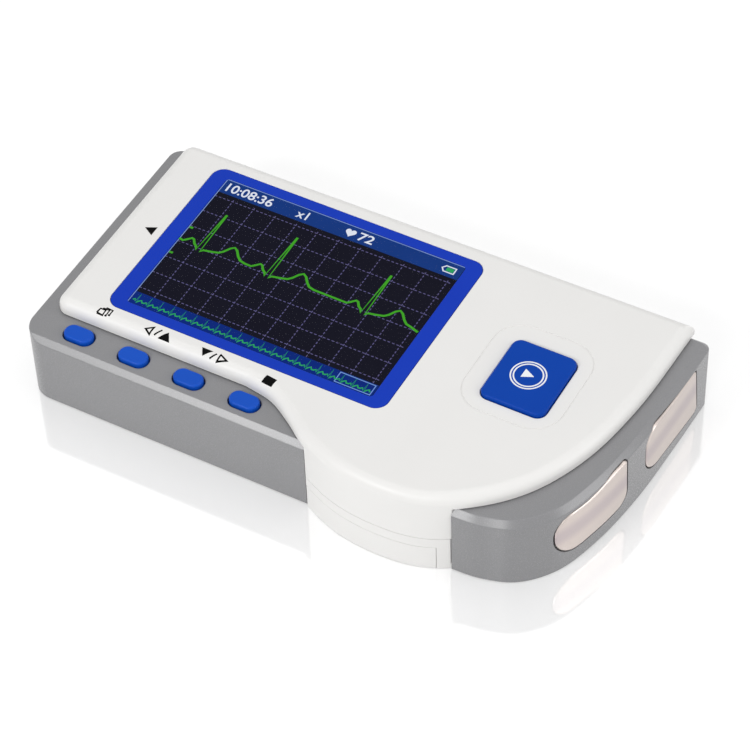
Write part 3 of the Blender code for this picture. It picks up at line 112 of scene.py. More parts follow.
def pick(piece, kind, test):
    """Enter edit mode with only the edges or faces selected that a test accepts."""
    select_only(piece)
    bpy.ops.object.mode_set(mode="EDIT")
    bpy.ops.mesh.select_mode(type=kind)
    bpy.ops.mesh.select_all(action="DESELECT")
    work = bmesh.from_edit_mesh(piece.data)
    work.normal_update()
    for item in work.edges if kind == "EDGE" else work.faces:
        if test(item):
            item.select_set(True)
    work.select_flush_mode()
    bmesh.update_edit_mesh(piece.data)


def leave_edit():
    """Go back to object mode."""
    bpy.ops.object.mode_set(mode="OBJECT")


def bevel(piece, test, width, segments):
    """Round the edges that a test accepts."""
    pick(piece, "EDGE", test)
    bpy.ops.mesh.bevel(offset=width, segments=segments, profile=0.5, affect="EDGES")
    leave_edit()


def round_level(piece, level, width, segments, high=None):
    """Round or chamfer a piece's sharp edges at a height, up to a highest x and y if given."""
    def on_rim(edge):
        ends = [vert.co for vert in edge.verts]
        if any(abs(end.z - level) > TINY for end in ends):
            return False
        if high and any(end.x > high[0] or end.y > high[1] for end in ends):
            return False
        return edge.calc_face_angle(0) > SHARP_ANGLE
    bevel(piece, on_rim, width, segments)


def primitive(name, make, **settings):
    """Make a primitive with one of Blender's own commands."""
    bpy.ops.object.select_all(action="DESELECT")
    make(**settings)
    piece = bpy.context.object
    piece.name = piece.data.name = name
    return piece


def apply_step(piece, kind, **settings):
    """Apply a modifier to a piece."""
    select_only(piece)
    step = piece.modifiers.new(kind.lower(), kind)
    for name, value in settings.items():
        setattr(step, name, value)
    bpy.ops.object.modifier_apply(modifier=step.name)


def outline_solid(name, points, bottom, top, wide=None):
    """A primitive circle shaped to an outline and extruded. wide is an outline for its top."""
    piece = primitive(name, bpy.ops.mesh.primitive_circle_add, vertices=len(points), radius=MM,
                      fill_type="NGON")
    for vert, point in zip(piece.data.vertices, points):
        vert.co = (point[0], point[1], bottom)
    bpy.ops.object.mode_set(mode="EDIT")
    bpy.ops.mesh.select_all(action="SELECT")
    bpy.ops.mesh.extrude_region_move(TRANSFORM_OT_translate={"value": (0, 0, top - bottom)})
    bpy.ops.mesh.select_all(action="SELECT")
    bpy.ops.mesh.normals_make_consistent(inside=False)
    leave_edit()
    if wide:
        for vert in piece.data.vertices:
            if abs(vert.co.z - top) < TINY:
                flat = Vector(vert.co[:2])
                index = min(range(len(points)), key=lambda i: (points[i] - flat).length)
                vert.co = (wide[index][0], wide[index][1], top)
    return piece


def block(name, low, high):
    """A box between two corners, to cut with or to build on."""
    piece = primitive(name, bpy.ops.mesh.primitive_cube_add, size=1,
                      location=(Vector(low) + Vector(high)) / 2,
                      scale=Vector(high) - Vector(low))
    bpy.ops.object.transform_apply(location=True, rotation=True, scale=True)
    return piece


def combine(piece, tools, operation="DIFFERENCE"):
    """Cut tools out of a piece, add them to it or keep what they share, and use them up."""
    for tool in tools:
        apply_step(piece, "BOOLEAN", operation=operation, solver="EXACT", object=tool)
        bpy.data.objects.remove(tool, do_unlink=True)
    return piece


def merge_pieces(name, pieces):
    """Join separate pieces into one object."""
    select_only(pieces[0])
    for piece in pieces[1:]:
        piece.select_set(True)
    bpy.ops.object.join()
    joined = bpy.context.object
    joined.name = joined.data.name = name
    return joined


def settle(piece, finish, body, nodes=(), weighted=True):
    """Shade a piece, give it its finish, tie it to its body and hide the nodes that it replaces.
    """
    select_only(piece)
    bpy.ops.object.shade_smooth_by_angle(angle=SMOOTH_ANGLE)
    if weighted:
        apply_step(piece, "WEIGHTED_NORMAL", keep_sharp=True)
    piece.data.materials.clear()
    piece.data.materials.append(finish)
    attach(piece, body)
    if nodes:
        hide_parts(*nodes)
    return piece


# Outlines: a path is a closed list of corners (x, y, radius), run anticlockwise

def inset(path, distance):
    """The path moved inwards by a distance, with its corner radii to suit."""
    moved = []
    for i, (x, y, radius) in enumerate(path):
        here = Vector((x, y))
        before = (here - Vector(path[i - 1][:2])).normalized()
        after = (Vector(path[(i + 1) % len(path)][:2]) - here).normalized()
        normal_in = Vector((-before.y, before.x))
        normal_out = Vector((-after.y, after.x))
        place = here + (normal_in + normal_out) / (1 + normal_in.dot(normal_out)) * distance
        kept = radius - distance if before.cross(after) > 0 else radius + distance
        moved.append((place.x, place.y, max(kept, 0) if radius else 0))
    return moved


def rounded(path, steps=CORNER_STEPS):
    """The path's points, with an arc at each corner that has a radius."""
    points = []
    for i, (x, y, radius) in enumerate(path):
        here = Vector((x, y))
        if radius <= TINY:
            points.append(here)
            continue
        back = (Vector(path[i - 1][:2]) - here).normalized()
        ahead = (Vector(path[(i + 1) % len(path)][:2]) - here).normalized()
        half = math.acos(max(-1, min(1, back.dot(ahead)))) / 2
        centre = here + (back + ahead).normalized() * (radius / math.sin(half))
        start = here + back * (radius / math.tan(half)) - centre
        sweep = (math.pi - 2 * half) * (1 if back.cross(ahead) < 0 else -1)
        for step in range(steps + 1):
            points.append(centre + Matrix.Rotation(sweep * step / steps, 2) @ start)
    return points


def smooth(points):
    """A smooth curve through the points, in which shorter spans bend tighter."""
    knots = [Vector(point) for point in points]
    knots = [2 * knots[0] - knots[1], *knots, 2 * knots[-1] - knots[-2]]
    curve = []
    for i in range(1, len(knots) - 2):
        four = knots[i - 1:i + 3]
        times = [0.0]
        for a, b in zip(four, four[1:]):
            times.append(times[-1] + math.sqrt((b - a).length))
        for step in range(SPAN_STEPS):
            now = times[1] + (times[2] - times[1]) * step / SPAN_STEPS
            level = list(four)
            for order in (1, 2, 3):
                reach = [(j, j + order) if order < 3 else (1, 2) for j in range(len(level) - 1)]
                level = [level[j].lerp(level[j + 1], (now - times[a]) / (times[b] - times[a]))
                         for j, (a, b) in enumerate(reach)]
            curve.append(level[0])
    curve.append(knots[-2])
    return curve


def between(curve, low, high):
    """The stretch of a curve whose x lies between two limits."""
    kept = []
    for a, b in zip(curve, curve[1:]):
        if low <= a.x <= high:
            kept.append(a)
        for limit in (low, high):
            if (a.x - limit) * (b.x - limit) < 0:
                kept.append(a.lerp(b, (limit - a.x) / (b.x - a.x)))
    if low <= curve[-1].x <= high:
        kept.append(curve[-1])
    return kept


def rectangle(centre, length, depth, radius):
    """A rounded rectangle's path."""
    x, y = centre
    a, b = length / 2, depth / 2
    return [(x - a, y - b, radius), (x + a, y - b, radius), (x + a, y + b, radius),
            (x - a, y + b, radius)]


def flat_points(path):
    """A path's corners as points, without their radii."""
    return [Vector(corner[:2]) for corner in path]


def sharp(points):
    """Points as corners of a path, without a radius."""
    return [(point.x, point.y, 0) for point in points]


def in_mm(places):
    """Points from places in millimetres."""
    return [Vector((x * MM, y * MM)) for x, y in places]


def grown(size, fit):
    """A length and a depth with the same clearance added at each end."""
    return size[0] + 2 * fit, size[1] + 2 * fit


def circle(centre, radius, sides):
    """Points of a circle, run anticlockwise."""
    return [Vector((centre[0] + radius * math.cos(2 * math.pi * i / sides),
                    centre[1] + radius * math.sin(2 * math.pi * i / sides)))
            for i in range(sides)]


def white_front_curve():
    """The wavy front edge of the white covers, from its straight stretch to the back corner."""
    fall = [(u * HALF_LENGTH, WHITE_FRONT - v * (HALF_DEPTH + WHITE_FRONT)) for u, v in BULGE_FALL]
    rise = [(u * HALF_LENGTH, -HALF_DEPTH + v * (BACK_RIGHT + HALF_DEPTH)) for u, v in BULGE_RISE]
    return smooth(fall + rise)


def white_path():
    """The white covers seen from above."""
    return [(WHITE_LEFT, BACK_LEFT, 2.6 * MM), (WHITE_LEFT, WHITE_FRONT, 2.9 * MM),
            *sharp(white_front_curve())]


def left_path():
    """The outline that the left bumper follows, carried on past its end."""
    return [(-HALF_LENGTH, BACK_LEFT, 3.0 * MM), (-HALF_LENGTH, FRONT, 5.2 * MM),
            (RIGHT_CUT, FRONT, 0), (RIGHT_CUT, BACK_LEFT, 0)]


def right_path():
    """The outline that the end cap follows, carried on past its end."""
    curve = smooth([(u * HALF_LENGTH, FRONT + v * (BACK_RIGHT - FRONT)) for u, v in CAP_WALL])
    wall = sharp(p for p in curve if p.y < BACK_RIGHT - 4.6 * MM)
    return [(BAY_CENTRE, BACK_RIGHT, 0), (BAY_CENTRE, FRONT, 0), *wall,
            (curve[-1].x, curve[-1].y, 1.8 * MM)]


# Materials

def linear(code):
    """An sRGB hex colour as linear RGBA."""
    parts = [int(code[i:i + 2], 16) / 255 for i in (0, 2, 4)]
    return (*(c / 12.92 if c <= 0.04045 else ((c + 0.055) / 1.055) ** 2.4 for c in parts), 1.0)


def tune(tree, node, inputs):
    """Set a node's inputs. Each is a value, or the output that feeds it."""
    for name, value in inputs.items():
        if isinstance(value, bpy.types.NodeSocket):
            tree.links.new(value, node.inputs[name])
        else:
            node.inputs[name].default_value = value


def add(tree, kind, inputs=None, **settings):
    """Add a node with its settings and inputs."""
    made = tree.nodes.new(kind)
    for name, value in settings.items():
        setattr(made, name, value)
    tune(tree, made, inputs or {})
    return made


def empty_tree(owner):
    """The emptied node tree of a material or of the world."""
    owner.use_nodes = True
    owner.node_tree.nodes.clear()
    return owner.node_tree


def new_material(name):
    """An empty node material, as (material, tree, shader, place on the piece)."""
    finish = bpy.data.materials.new(name)
    tree = empty_tree(finish)
    shader = add(tree, "ShaderNodeBsdfPrincipled")
    add(tree, "ShaderNodeOutputMaterial", {"Surface": shader.outputs["BSDF"]})
    return finish, tree, shader, add(tree, "ShaderNodeTexCoord").outputs["Object"]


def noise(tree, place, size, detail=3.0):
    """Uneven values from 0 to 1, with features of about one size."""
    return add(tree, "ShaderNodeTexNoise",
               {"Vector": place, "Scale": 1 / size, "Detail": detail}).outputs["Fac"]


def blend(tree, share, colour, shade):
    """A share's colour between two, each of them a hex code or an output."""
    ends = [linear(end) if isinstance(end, str) else end for end in (colour, shade)]
    return add(tree, "ShaderNodeMix", {"Factor": share, "A": ends[0], "B": ends[1]},
               data_type="RGBA").outputs["Result"]


def spread(tree, share, low, high):
    """A share's value between two limits."""
    return add(tree, "ShaderNodeMapRange",
               {"Value": share, "To Min": low, "To Max": high}).outputs["Result"]


def bumps(tree, height, strength, relief):
    """Fine bumps on a surface."""
    return add(tree, "ShaderNodeBump", {"Height": height, "Strength": strength,
                                        "Distance": relief}).outputs["Normal"]


def moulded_plastic(name, colour, shade, roughness, grain, relief, specular=0.5):
    """Injection moulded plastic: slow colour drift, uneven gloss and the mould's fine grain."""
    finish, tree, shader, place = new_material(name)
    fine = noise(tree, place, grain, 2.0)
    tune(tree, shader, {
        "Base Color": blend(tree, noise(tree, place, 14 * MM), colour, shade),
        "Roughness": spread(tree, fine, roughness - 0.02, roughness + 0.02),
        "Normal": bumps(tree, fine, 1.0, relief), "Specular IOR Level": specular})
    return finish


def lit(name, colour, shade, grain):
    """A part of the lit display: it glows with its own colour behind the window."""
    finish, tree, shader, place = new_material(name)
    finish.cycles.emission_sampling = "NONE"
    tune(tree, shader, {
        "Emission Color": blend(tree, noise(tree, place, grain, 1.0), colour, shade),
        "Emission Strength": 1.0, "Base Color": linear("000000"), "Roughness": 0.6,
        "Specular IOR Level": 0.0})
    return finish


# White ABS, moulded and left satin: bright and even, with a soft highlight on rounded edges
WHITE_ABS = moulded_plastic(
    "satin_white_abs", "edecea", "e9e8e6", 0.38, 0.35 * MM, 0.0012 * MM, 0.4)
# Grey ABS from a finely eroded mould: even, with a grain that only dulls its soft gloss
GREY_ABS = moulded_plastic(
    "grained_grey_abs", "878789", "838385", 0.27, 0.14 * MM, 0.0002 * MM, 0.6)
# Blue polycarbonate of the display frame: saturated, smooth and satin
FRAME_BLUE = moulded_plastic(
    "satin_blue_frame", "123cbc", "0e36b2", 0.34, 0.3 * MM, 0.001 * MM, 0.1)
# Darker blue of the start button
BUTTON_BLUE = moulded_plastic(
    "satin_blue_button", "0243ab", "003da2", 0.36, 0.3 * MM, 0.001 * MM, 0.1)
# Brighter blue of the soft oval keys
KEY_BLUE = moulded_plastic(
    "satin_blue_key", "0e52c4", "0a4cb8", 0.34, 0.3 * MM, 0.001 * MM, 0.16)
# White silicone ink, thick enough to see from close by
MARK_WHITE = moulded_plastic(
    "white_pad_print", "f4f5f8", "eceef2", 0.5, 0.2 * MM, 0.001 * MM, 0.2)
# Black pad-printing ink: flat and slightly uneven
MARK_BLACK = moulded_plastic(
    "black_pad_print", "060607", "0c0c0d", 0.7, 0.2 * MM, 0.001 * MM, 0.05)
# Black moulded plastic of holder, switches, chip and buzzer
BLACK_ABS = moulded_plastic("black_abs", "141416", "1a1a1c", 0.5, 0.3 * MM, 0.003 * MM, 0.3)
# White light guide behind the panel
LIGHT_GUIDE = moulded_plastic("milky_light_guide", "e9ebef", "e2e5ea", 0.3, 0.5 * MM, 0.001 * MM)
# Green solder mask, glossy over the copper's fine steps
GREEN_BOARD = moulded_plastic("green_solder_mask", "0f5a2c", "0a4a24", 0.3, 0.8 * MM, 0.008 * MM)
# Amber polyimide film of the two ribbons
AMBER_FILM = moulded_plastic("amber_polyimide", "b0701c", "9c6016", 0.25, 0.6 * MM, 0.003 * MM)
# Printed sleeve on the cells: dark, smooth and a little shiny
CELL_SLEEVE = moulded_plastic("dark_cell_sleeve", "24262b", "1e2024", 0.22, 3 * MM, 0.004 * MM)
# Red silicone insulation of the electrode wires
RED_WIRE = moulded_plastic("red_wire_insulation", "b3211a", "a01b16", 0.5, 0.3 * MM, 0.002 * MM)


def brushed_steel(name, colour, shade, roughness, reflection_band=None):
    """Satin steel, brushed along the machine, with an optional painted reflection: a soft stripe
    of another colour about one height.
    """
    finish, tree, shader, place = new_material(name)
    stretch = add(tree, "ShaderNodeMapping", {"Vector": place, "Scale": (1.0, 1.0, 14.0)})
    streak = noise(tree, stretch.outputs["Vector"], 1.6 * MM)
    mix = blend(tree, streak, colour, shade)
    # The band is a painted reflection: a darker colour fading in about one height, standing in for
    # the surroundings mirrored in the metal.
    if reflection_band:
        height = add(tree, "ShaderNodeSeparateXYZ", {"Vector": place}).outputs["Z"]
        away = add(tree, "ShaderNodeMath", {0: height, 1: reflection_band[0]}, operation="SUBTRACT")
        away = add(tree, "ShaderNodeMath", {0: away.outputs[0]}, operation="ABSOLUTE")
        share = add(tree, "ShaderNodeMapRange",
                    {"Value": away.outputs[0], "From Min": 0.4 * MM, "From Max": 3.4 * MM,
                     "To Min": 0.9, "To Max": 0.0}, interpolation_type="SMOOTHSTEP")
        mix = blend(tree, share.outputs["Result"], mix, reflection_band[1])
    tune(tree, shader, {
        "Base Color": mix, "Roughness": spread(tree, streak, roughness - 0.05, roughness + 0.05),
        "Normal": bumps(tree, streak, 0.6, 0.002 * MM), "Metallic": 1.0})
    return finish


# Stainless steel of the electrodes: warm and satin, with a painted reflection, a soft darker
# pinkish stripe about mid height
ELECTRODE_STEEL = brushed_steel("brushed_electrode_steel", "cec3bd", "c3b9b4", 0.34,
                                (10.3 * MM, "b6abac"))
# Nickel plate on springs, contacts, shield and socket
NICKEL = brushed_steel("nickel_plate", "c6c2b8", "b5b1a6", 0.26)
# Zinc plate on the case screws: greyer and duller than the nickel
ZINC = brushed_steel("zinc_plate", "9a9a9c", "85868a", 0.4)


def clear_window():
    """Clear hard-coated acrylic: it lets the picture through and adds only a faint gloss."""
    finish, tree, shader, place = new_material("clear_acrylic")
    tune(tree, shader, {
        "Roughness": spread(tree, noise(tree, place, 9 * MM), 0.02, 0.05),
        "Base Color": linear("101014"), "Alpha": 0.05, "Specular IOR Level": 0.03})
    return finish


ACRYLIC = clear_window()
# Lit parts of the picture, each close to one colour with the panel's slight unevenness
PANEL_GLASS = lit("dark_display_glass", "1a1a25", "1c1c28", 6 * MM)
BAR_BLUE = lit("lit_status_bar_blue", "1c3d86", "1a3a7e", 6 * MM)
LOW_BAR_BLUE = lit("lit_lower_bar_blue", "133083", "112a78", 4 * MM)
VIEW_BLUE = lit("lit_view_box_blue", "7ea4e6", "6f97dc", 4 * MM)
GRID_LINE = lit("lit_grid_violet", "626296", "645c84", 2 * MM)
TRACE_GREEN = lit("lit_trace_green", "48ae2c", "3f9f2a", 3 * MM)
SMALL_GREEN = lit("lit_small_green", "34ac66", "2c9c5c", 3 * MM)
TEXT_WHITE = lit("lit_figure_white", "eef2fb", "dfe6f6", 2 * MM)
# Painted highlight: a glowing light line that stands for the window's left and top edges catching
# the light
EDGE_HIGHLIGHT = lit("painted_highlight_blue", "8da6dc", "6f8ccf", 8 * MM)


# White top cover

DISPLAY_CENTRE = (-17.45 * MM, 6.5 * MM)
FRAME_SIZE = (63.7 * MM, 44.8 * MM)
FRAME_ROUND = 2.8 * MM
FRAME_FIT = 0.1 * MM
OPENING_SIZE = (60.6 * MM, 43.2 * MM)
WINDOW_ROUND = 0.8 * MM
START_CENTRE = (36.0 * MM, 4.9 * MM)
START_SIZE = (14.1 * MM, 16.85 * MM)
START_ROUND = 2.0 * MM
START_FIT = 0.2 * MM
PAD_CENTRE = (35.5 * MM, 5.45 * MM)
PAD_SIZE = (21.9 * MM, 25.2 * MM)
PAD_ROUND = 6.6 * MM
PAD_LINE = 0.32 * MM
PAD_DEPTH = 0.12 * MM
PORT_X = (21.0 * MM, 29.1 * MM)
PORT_Z = (13.9 * MM, 17.5 * MM)
SCREW_PLACES = [(-54.8 * MM, -0.196 * DEPTH), (-54.8 * MM, 0.408 * DEPTH),
                (0.4 * LENGTH, 0.408 * DEPTH), (0.372 * LENGTH, -0.181 * DEPTH)]
BOSS_RADIUS = 2.5 * MM
PILOT_RADIUS = 1.3 * MM
PILOT_TOP = 14.6 * MM


def flared_hole(name, path, bottom, top, flare):
    """A tool that cuts a hole with a small chamfer round its mouth at the top."""
    hole = outline_solid(name, rounded(path), bottom, top + MM)
    mouth = outline_solid(name + "_mouth", rounded(path), top - flare, top + flare,
                          rounded(inset(path, -2 * flare)))
    return combine(hole, [mouth], "UNION")


def make_top_shell():
    """White upper shell: rounded rim, display recess, button hole and the pad's fine groove."""
    path = white_path()
    shell = outline_solid("white_top_shell", rounded(path), PART_LINE, HEIGHT)
    round_level(shell, HEIGHT, RIM_ROUND, 9)
    skirt = LEDGE + GAP
    inner_left = WHITE_LEFT + COVER_WALL + 0.4 * MM
    combine(shell, [
        outline_solid("hollow", rounded(inset(path, COVER_WALL)), BELOW, CEILING),
        block("over_left", (-FAR, -FAR, BELOW), (inner_left, BACK_STRIP, skirt)),
        block("over_left_corner", (-FAR, -FAR, BELOW), (LEFT_BACK + GAP, FAR, skirt)),
        block("over_keys", (-FAR, -FAR, BELOW), (LEFT_CUT + GAP, WHITE_FRONT + 5 * MM, skirt)),
        block("over_cap", (RIGHT_CUT - CAP_SEAM, -FAR, BELOW), (FAR, BACK_STRIP, skirt)),
        block("over_cap_corner", (RIGHT_BACK - GAP, -FAR, BELOW), (FAR, FAR, skirt))])
    combine(shell, [outline_solid("boss", circle(place, BOSS_RADIUS, 32), PART_LINE,
                                  CEILING + 0.4 * MM) for place in SCREW_PLACES], "UNION")
    combine(shell, [outline_solid("pilot", circle(place, PILOT_RADIUS, 24), BELOW, PILOT_TOP)
                    for place in SCREW_PLACES])
    recess = rectangle(DISPLAY_CENTRE, *grown(FRAME_SIZE, FRAME_FIT), FRAME_ROUND + FRAME_FIT)
    opening = rectangle(DISPLAY_CENTRE, *OPENING_SIZE, WINDOW_ROUND)
    button = rectangle(START_CENTRE, *grown(START_SIZE, START_FIT), START_ROUND + START_FIT)
    line = rectangle(PAD_CENTRE, *PAD_SIZE, PAD_ROUND)
    ring = outline_solid("pad_ring", rounded(line), HEIGHT - PAD_DEPTH, HEIGHT + MM)
    combine(ring, [outline_solid("pad_middle", rounded(inset(line, PAD_LINE)), CEILING,
                                 HEIGHT + 2 * MM)])
    combine(shell, [
        ring,
        flared_hole("recess", recess, HEIGHT - 1.1 * MM, HEIGHT, 0.08 * MM),
        outline_solid("opening", rounded(opening, 4), BELOW, HEIGHT + MM),
        flared_hole("button_hole", button, BELOW, HEIGHT, 0.12 * MM),
        block("port", (PORT_X[0], HALF_DEPTH - 5 * MM, PORT_Z[0]),
              (PORT_X[1], HALF_DEPTH + MM, PORT_Z[1]))])
    return settle(shell, WHITE_ABS, "case", ["top_cover"])


# White base and battery door

DOOR_TOP = 6.3 * MM
DOOR_LEFT = LEFT_CUT + 0.35 * MM
DOOR_RIGHT = 0.2728 * LENGTH
DOOR_FACE = -29 * MM
BAY_HALF = 10.95 * MM
SCREW_POST_RADIUS = 3.2 * MM
SCREW_HEAD_RADIUS = 2.2 * MM
SCREW_HEAD_ROOM = 2.6 * MM
BOARD_POST_RADIUS = 1.6 * MM
BOARD_POST_SHARES = ((-0.38, -0.21), (-0.38, 0.38), (-0.03, 0.38), (0.32, 0.38), (0.32, -0.21))
SOUND_CENTRE = (-30 * MM, -8.6 * MM)
SOUND_RING = 2.55 * MM
SOUND_HOLE_RADIUS = 0.6 * MM
SOUND_HOLES = 5


def base_path():
    """The base seen from below: inside the grey walls, and out to the white ones."""
    left, front = -HALF_LENGTH + SIDE_WALL + GAP, FRONT + SIDE_WALL + GAP
    in_left, in_right = (y - SIDE_WALL - GAP for y in (BACK_LEFT, BACK_RIGHT))
    cap_inner = flat_points(inset(right_path(), SIDE_WALL + GAP))[1:-1]
    cap_low = between(cap_inner, RIGHT_CUT - GAP, LENGTH)
    bulge = between(white_front_curve(), LEFT_CUT + 0.2 * MM, RIGHT_CUT - CAP_SEAM)
    return [(LEFT_BACK + GAP, BACK_LEFT, 0), (LEFT_BACK + GAP, in_left, 0),
            (left, in_left, 0.9 * MM), (left, front, 3.1 * MM), (bulge[0].x, front, 0),
            *sharp(bulge), *sharp(p for p in cap_low if p.y < in_right),
            (cap_low[-1].x, in_right, 0), (RIGHT_BACK - GAP, in_right, 0),
            (RIGHT_BACK - GAP, BACK_RIGHT, 0)]


def make_base_shell():
    """White tray: floor, bulge wall, back wall, battery bay, posts, screw bosses and holes."""
    path = white_path()
    top = PART_LINE - SEAM
    shell = outline_solid("white_base_shell", rounded(base_path()), 0, top)
    wall = between(flat_points(inset(path, COVER_WALL))[2:-1], LEFT_CUT + GAP, RIGHT_CUT - GAP)
    room = [Vector((-LENGTH, BACK_LEFT - COVER_WALL)), Vector((-LENGTH, -FAR)),
            Vector((wall[0].x, -FAR)), *wall, Vector((wall[-1].x, -FAR)), Vector((LENGTH, -FAR)),
            Vector((LENGTH, BACK_RIGHT - COVER_WALL))]
    combine(shell, [outline_solid("room", room, BASE_PLATE, HEIGHT)])
    low, high = BAY_CENTRE - BAY_HALF, BAY_CENTRE + BAY_HALF
    for floor, ceiling, margin in ((BAY_WALL, top, 1.6 * MM), (top - 0.4 * MM, BAY_TOP, 2.3 * MM)):
        bay = block("bay", (low - BAY_WALL, -HALF_DEPTH, floor),
                    (high + BAY_WALL, BAY_BACK + BAY_WALL, ceiling))
        trim = outline_solid("trim", rounded(inset(path, margin)), -MM, HEIGHT)
        combine(bay, [trim], "INTERSECT")
        combine(shell, [bay], "UNION")
    inside = block("bay_room", (low, -DEPTH, -MM), (high, BAY_BACK, HEIGHT))
    combine(inside, [outline_solid("keep", rounded(inset(path, COVER_WALL)), -DEPTH, DEPTH)],
            "INTERSECT")
    combine(shell, [inside])
    posts = [(place, SCREW_POST_RADIUS, top) for place in SCREW_PLACES]
    posts += [((u * LENGTH, v * DEPTH), BOARD_POST_RADIUS, BAY_TOP) for u, v in BOARD_POST_SHARES]
    combine(shell, [outline_solid("post", circle(place, radius, 32), BAY_WALL, ceiling)
                    for place, radius, ceiling in posts], "UNION")
    holes = [(place, SCREW_HEAD_RADIUS, SCREW_HEAD_ROOM) for place in SCREW_PLACES]
    holes += [(place, PILOT_RADIUS, HEIGHT) for place in SCREW_PLACES]
    holes += [(place, SOUND_HOLE_RADIUS, 2 * MM)
              for place in circle(SOUND_CENTRE, SOUND_RING, SOUND_HOLES)]
    combine(shell, [outline_solid("bore", circle(place, radius, 32), -MM, ceiling)
                    for place, radius, ceiling in holes])
    curve = [Vector((p.x, p.y - 3 * MM)) for p in white_front_curve()]
    inner = flat_points(inset(path, SIDE_WALL + 0.2 * MM))[2:-1]
    right = DOOR_RIGHT + SEAM
    combine(shell, [
        outline_solid("door_room", between(curve, LEFT_CUT, right)
                      + between(inner, LEFT_CUT, right)[::-1], -MM, DOOR_TOP + SEAM),
        block("panel_room", (low, -DEPTH, -MM), (high, BAY_BACK, BASE_PLATE + 0.01 * MM))])
    edge = block("raised_edge", (LEFT_CUT - MM, -FAR, -MM), (RIGHT_CUT + MM, -20 * MM, FOOT_GAP))
    combine(edge, [outline_solid("foot", rounded(inset(path, 1.4 * MM)), -2 * MM, MM)])
    combine(shell, [edge])
    return settle(shell, WHITE_ABS, "case", ["bottom_cover"])


def make_door():
    """White door: the front wall of the bulge and the panel under the cells."""
    outer = between(white_front_curve(), DOOR_LEFT, DOOR_RIGHT)
    inner = between(flat_points(inset(white_path(), SIDE_WALL))[2:-1], DOOR_LEFT, DOOR_RIGHT)
    door = outline_solid("white_door", outer + inner[::-1], FOOT_GAP, DOOR_TOP)
    round_level(door, FOOT_GAP, 0.12 * MM, 2, high=(FAR, DOOR_FACE))
    round_level(door, DOOR_TOP, 0.08 * MM, 2, high=(FAR, DOOR_FACE))
    half = BAY_HALF - GAP
    panel = block("door_panel", (BAY_CENTRE - half, -HALF_DEPTH + 1.2 * MM, 0.2 * MM),
                  (BAY_CENTRE + half, BAY_BACK - GAP, BASE_PLATE))
    trim = outline_solid("trim", rounded(inset(white_path(), 1.5 * MM)), -MM, HEIGHT)
    combine(panel, [trim], "INTERSECT")
    combine(door, [panel], "UNION")
    return settle(door, WHITE_ABS, "battery_door", ["battery_door"])


# Grey side pieces

KEY_XS = [(-51.05 + 12.9 * number) * MM for number in range(4)]
KEY_Y = FRONT + 4.7 * MM
KEY_SIZE = (6.45 * MM, 3.82 * MM)
KEY_ROUND = 1.85 * MM
KEY_FIT = 0.28 * MM
CHAMFER = 1.2 * MM
CAP_CHAMFER = 1.3 * MM
CHAMFER_SOFT = 0.13 * MM
RETURN_FRONT = BAY_BACK - 3 * MM
RAIL_LEVELS = (1.9 * MM, 3.0 * MM)
RAIL_REACH = 2.4 * MM
LEDGE_TUCK = 1.2 * MM


def side_piece(name, path, edge, steps, end, returned):
    """A grey wall with a ledge on top and a rail that reaches in over the base."""
    low = FOOT_GAP
    piece = outline_solid(name, rounded(path), low, LEDGE)
    round_level(piece, LEDGE, edge, steps)
    if steps == 1:
        round_level(piece, LEDGE, CHAMFER_SOFT, 3)
        round_level(piece, LEDGE - edge, CHAMFER_SOFT, 3)
    round_level(piece, low, 0.15 * MM, 3)
    inner = rounded(inset(path, SIDE_WALL))
    rail = rounded(inset(path, SIDE_WALL + RAIL_REACH))
    under_white = rounded(inset(white_path(), LEDGE_TUCK))
    return combine(piece, [
        outline_solid("below", inner, -3 * MM, RAIL_LEVELS[0]),
        outline_solid("through", rail, -3 * MM, LEDGE_UNDER),
        outline_solid("inside", inner, RAIL_LEVELS[1], LEDGE_UNDER),
        outline_solid("ledge_edge", under_white, LEDGE_UNDER - 0.4 * MM, LEDGE + 3 * MM),
        block("past_end", *end), block("past_return", *returned)])


def make_bumper():
    """Left bumper: a chamfer along its straight front edge, and four key holes in its ledge."""
    bumper = side_piece(
        "grey_bumper", left_path(), 0.35 * MM, 4, ((LEFT_CUT, -FAR, -MM), (FAR, FAR, HEIGHT)),
        ((LEFT_BACK, RETURN_FRONT, -MM), (FAR, FAR, HEIGHT)))
    over = 3 * MM
    wedge = outline_solid("wedge", [
        Vector((FRONT - over, LEDGE - CHAMFER - over)),
        Vector((FRONT + CHAMFER + over, LEDGE + over)),
        Vector((FRONT - over, LEDGE + over))], -FAR, FAR)
    for vert in wedge.data.vertices:
        vert.co = (vert.co.z, vert.co.x, vert.co.y)
    combine(bumper, [wedge])
    slope = Vector((0, -1, 1)).normalized()

    def on_border(edge):
        tilts = [face.normal.dot(slope) for face in edge.link_faces]
        flat = abs(edge.verts[0].co.x - edge.verts[1].co.x) > TINY
        return flat and max(tilts) > 0.999 and min(tilts) < 0.94
    bevel(bumper, on_border, CHAMFER_SOFT, 3)
    for x in KEY_XS:
        hole = rectangle((x, KEY_Y), *grown(KEY_SIZE, KEY_FIT), 2.1 * MM)
        combine(bumper, [flared_hole("key_hole", hole, 10 * MM, LEDGE, 0.12 * MM)])
    return bumper


# Electrodes, as plates that are shaped flat and then bent to the wall. A plate's corners are
# shares of its length and height, with the corner's radius as a share of its height.

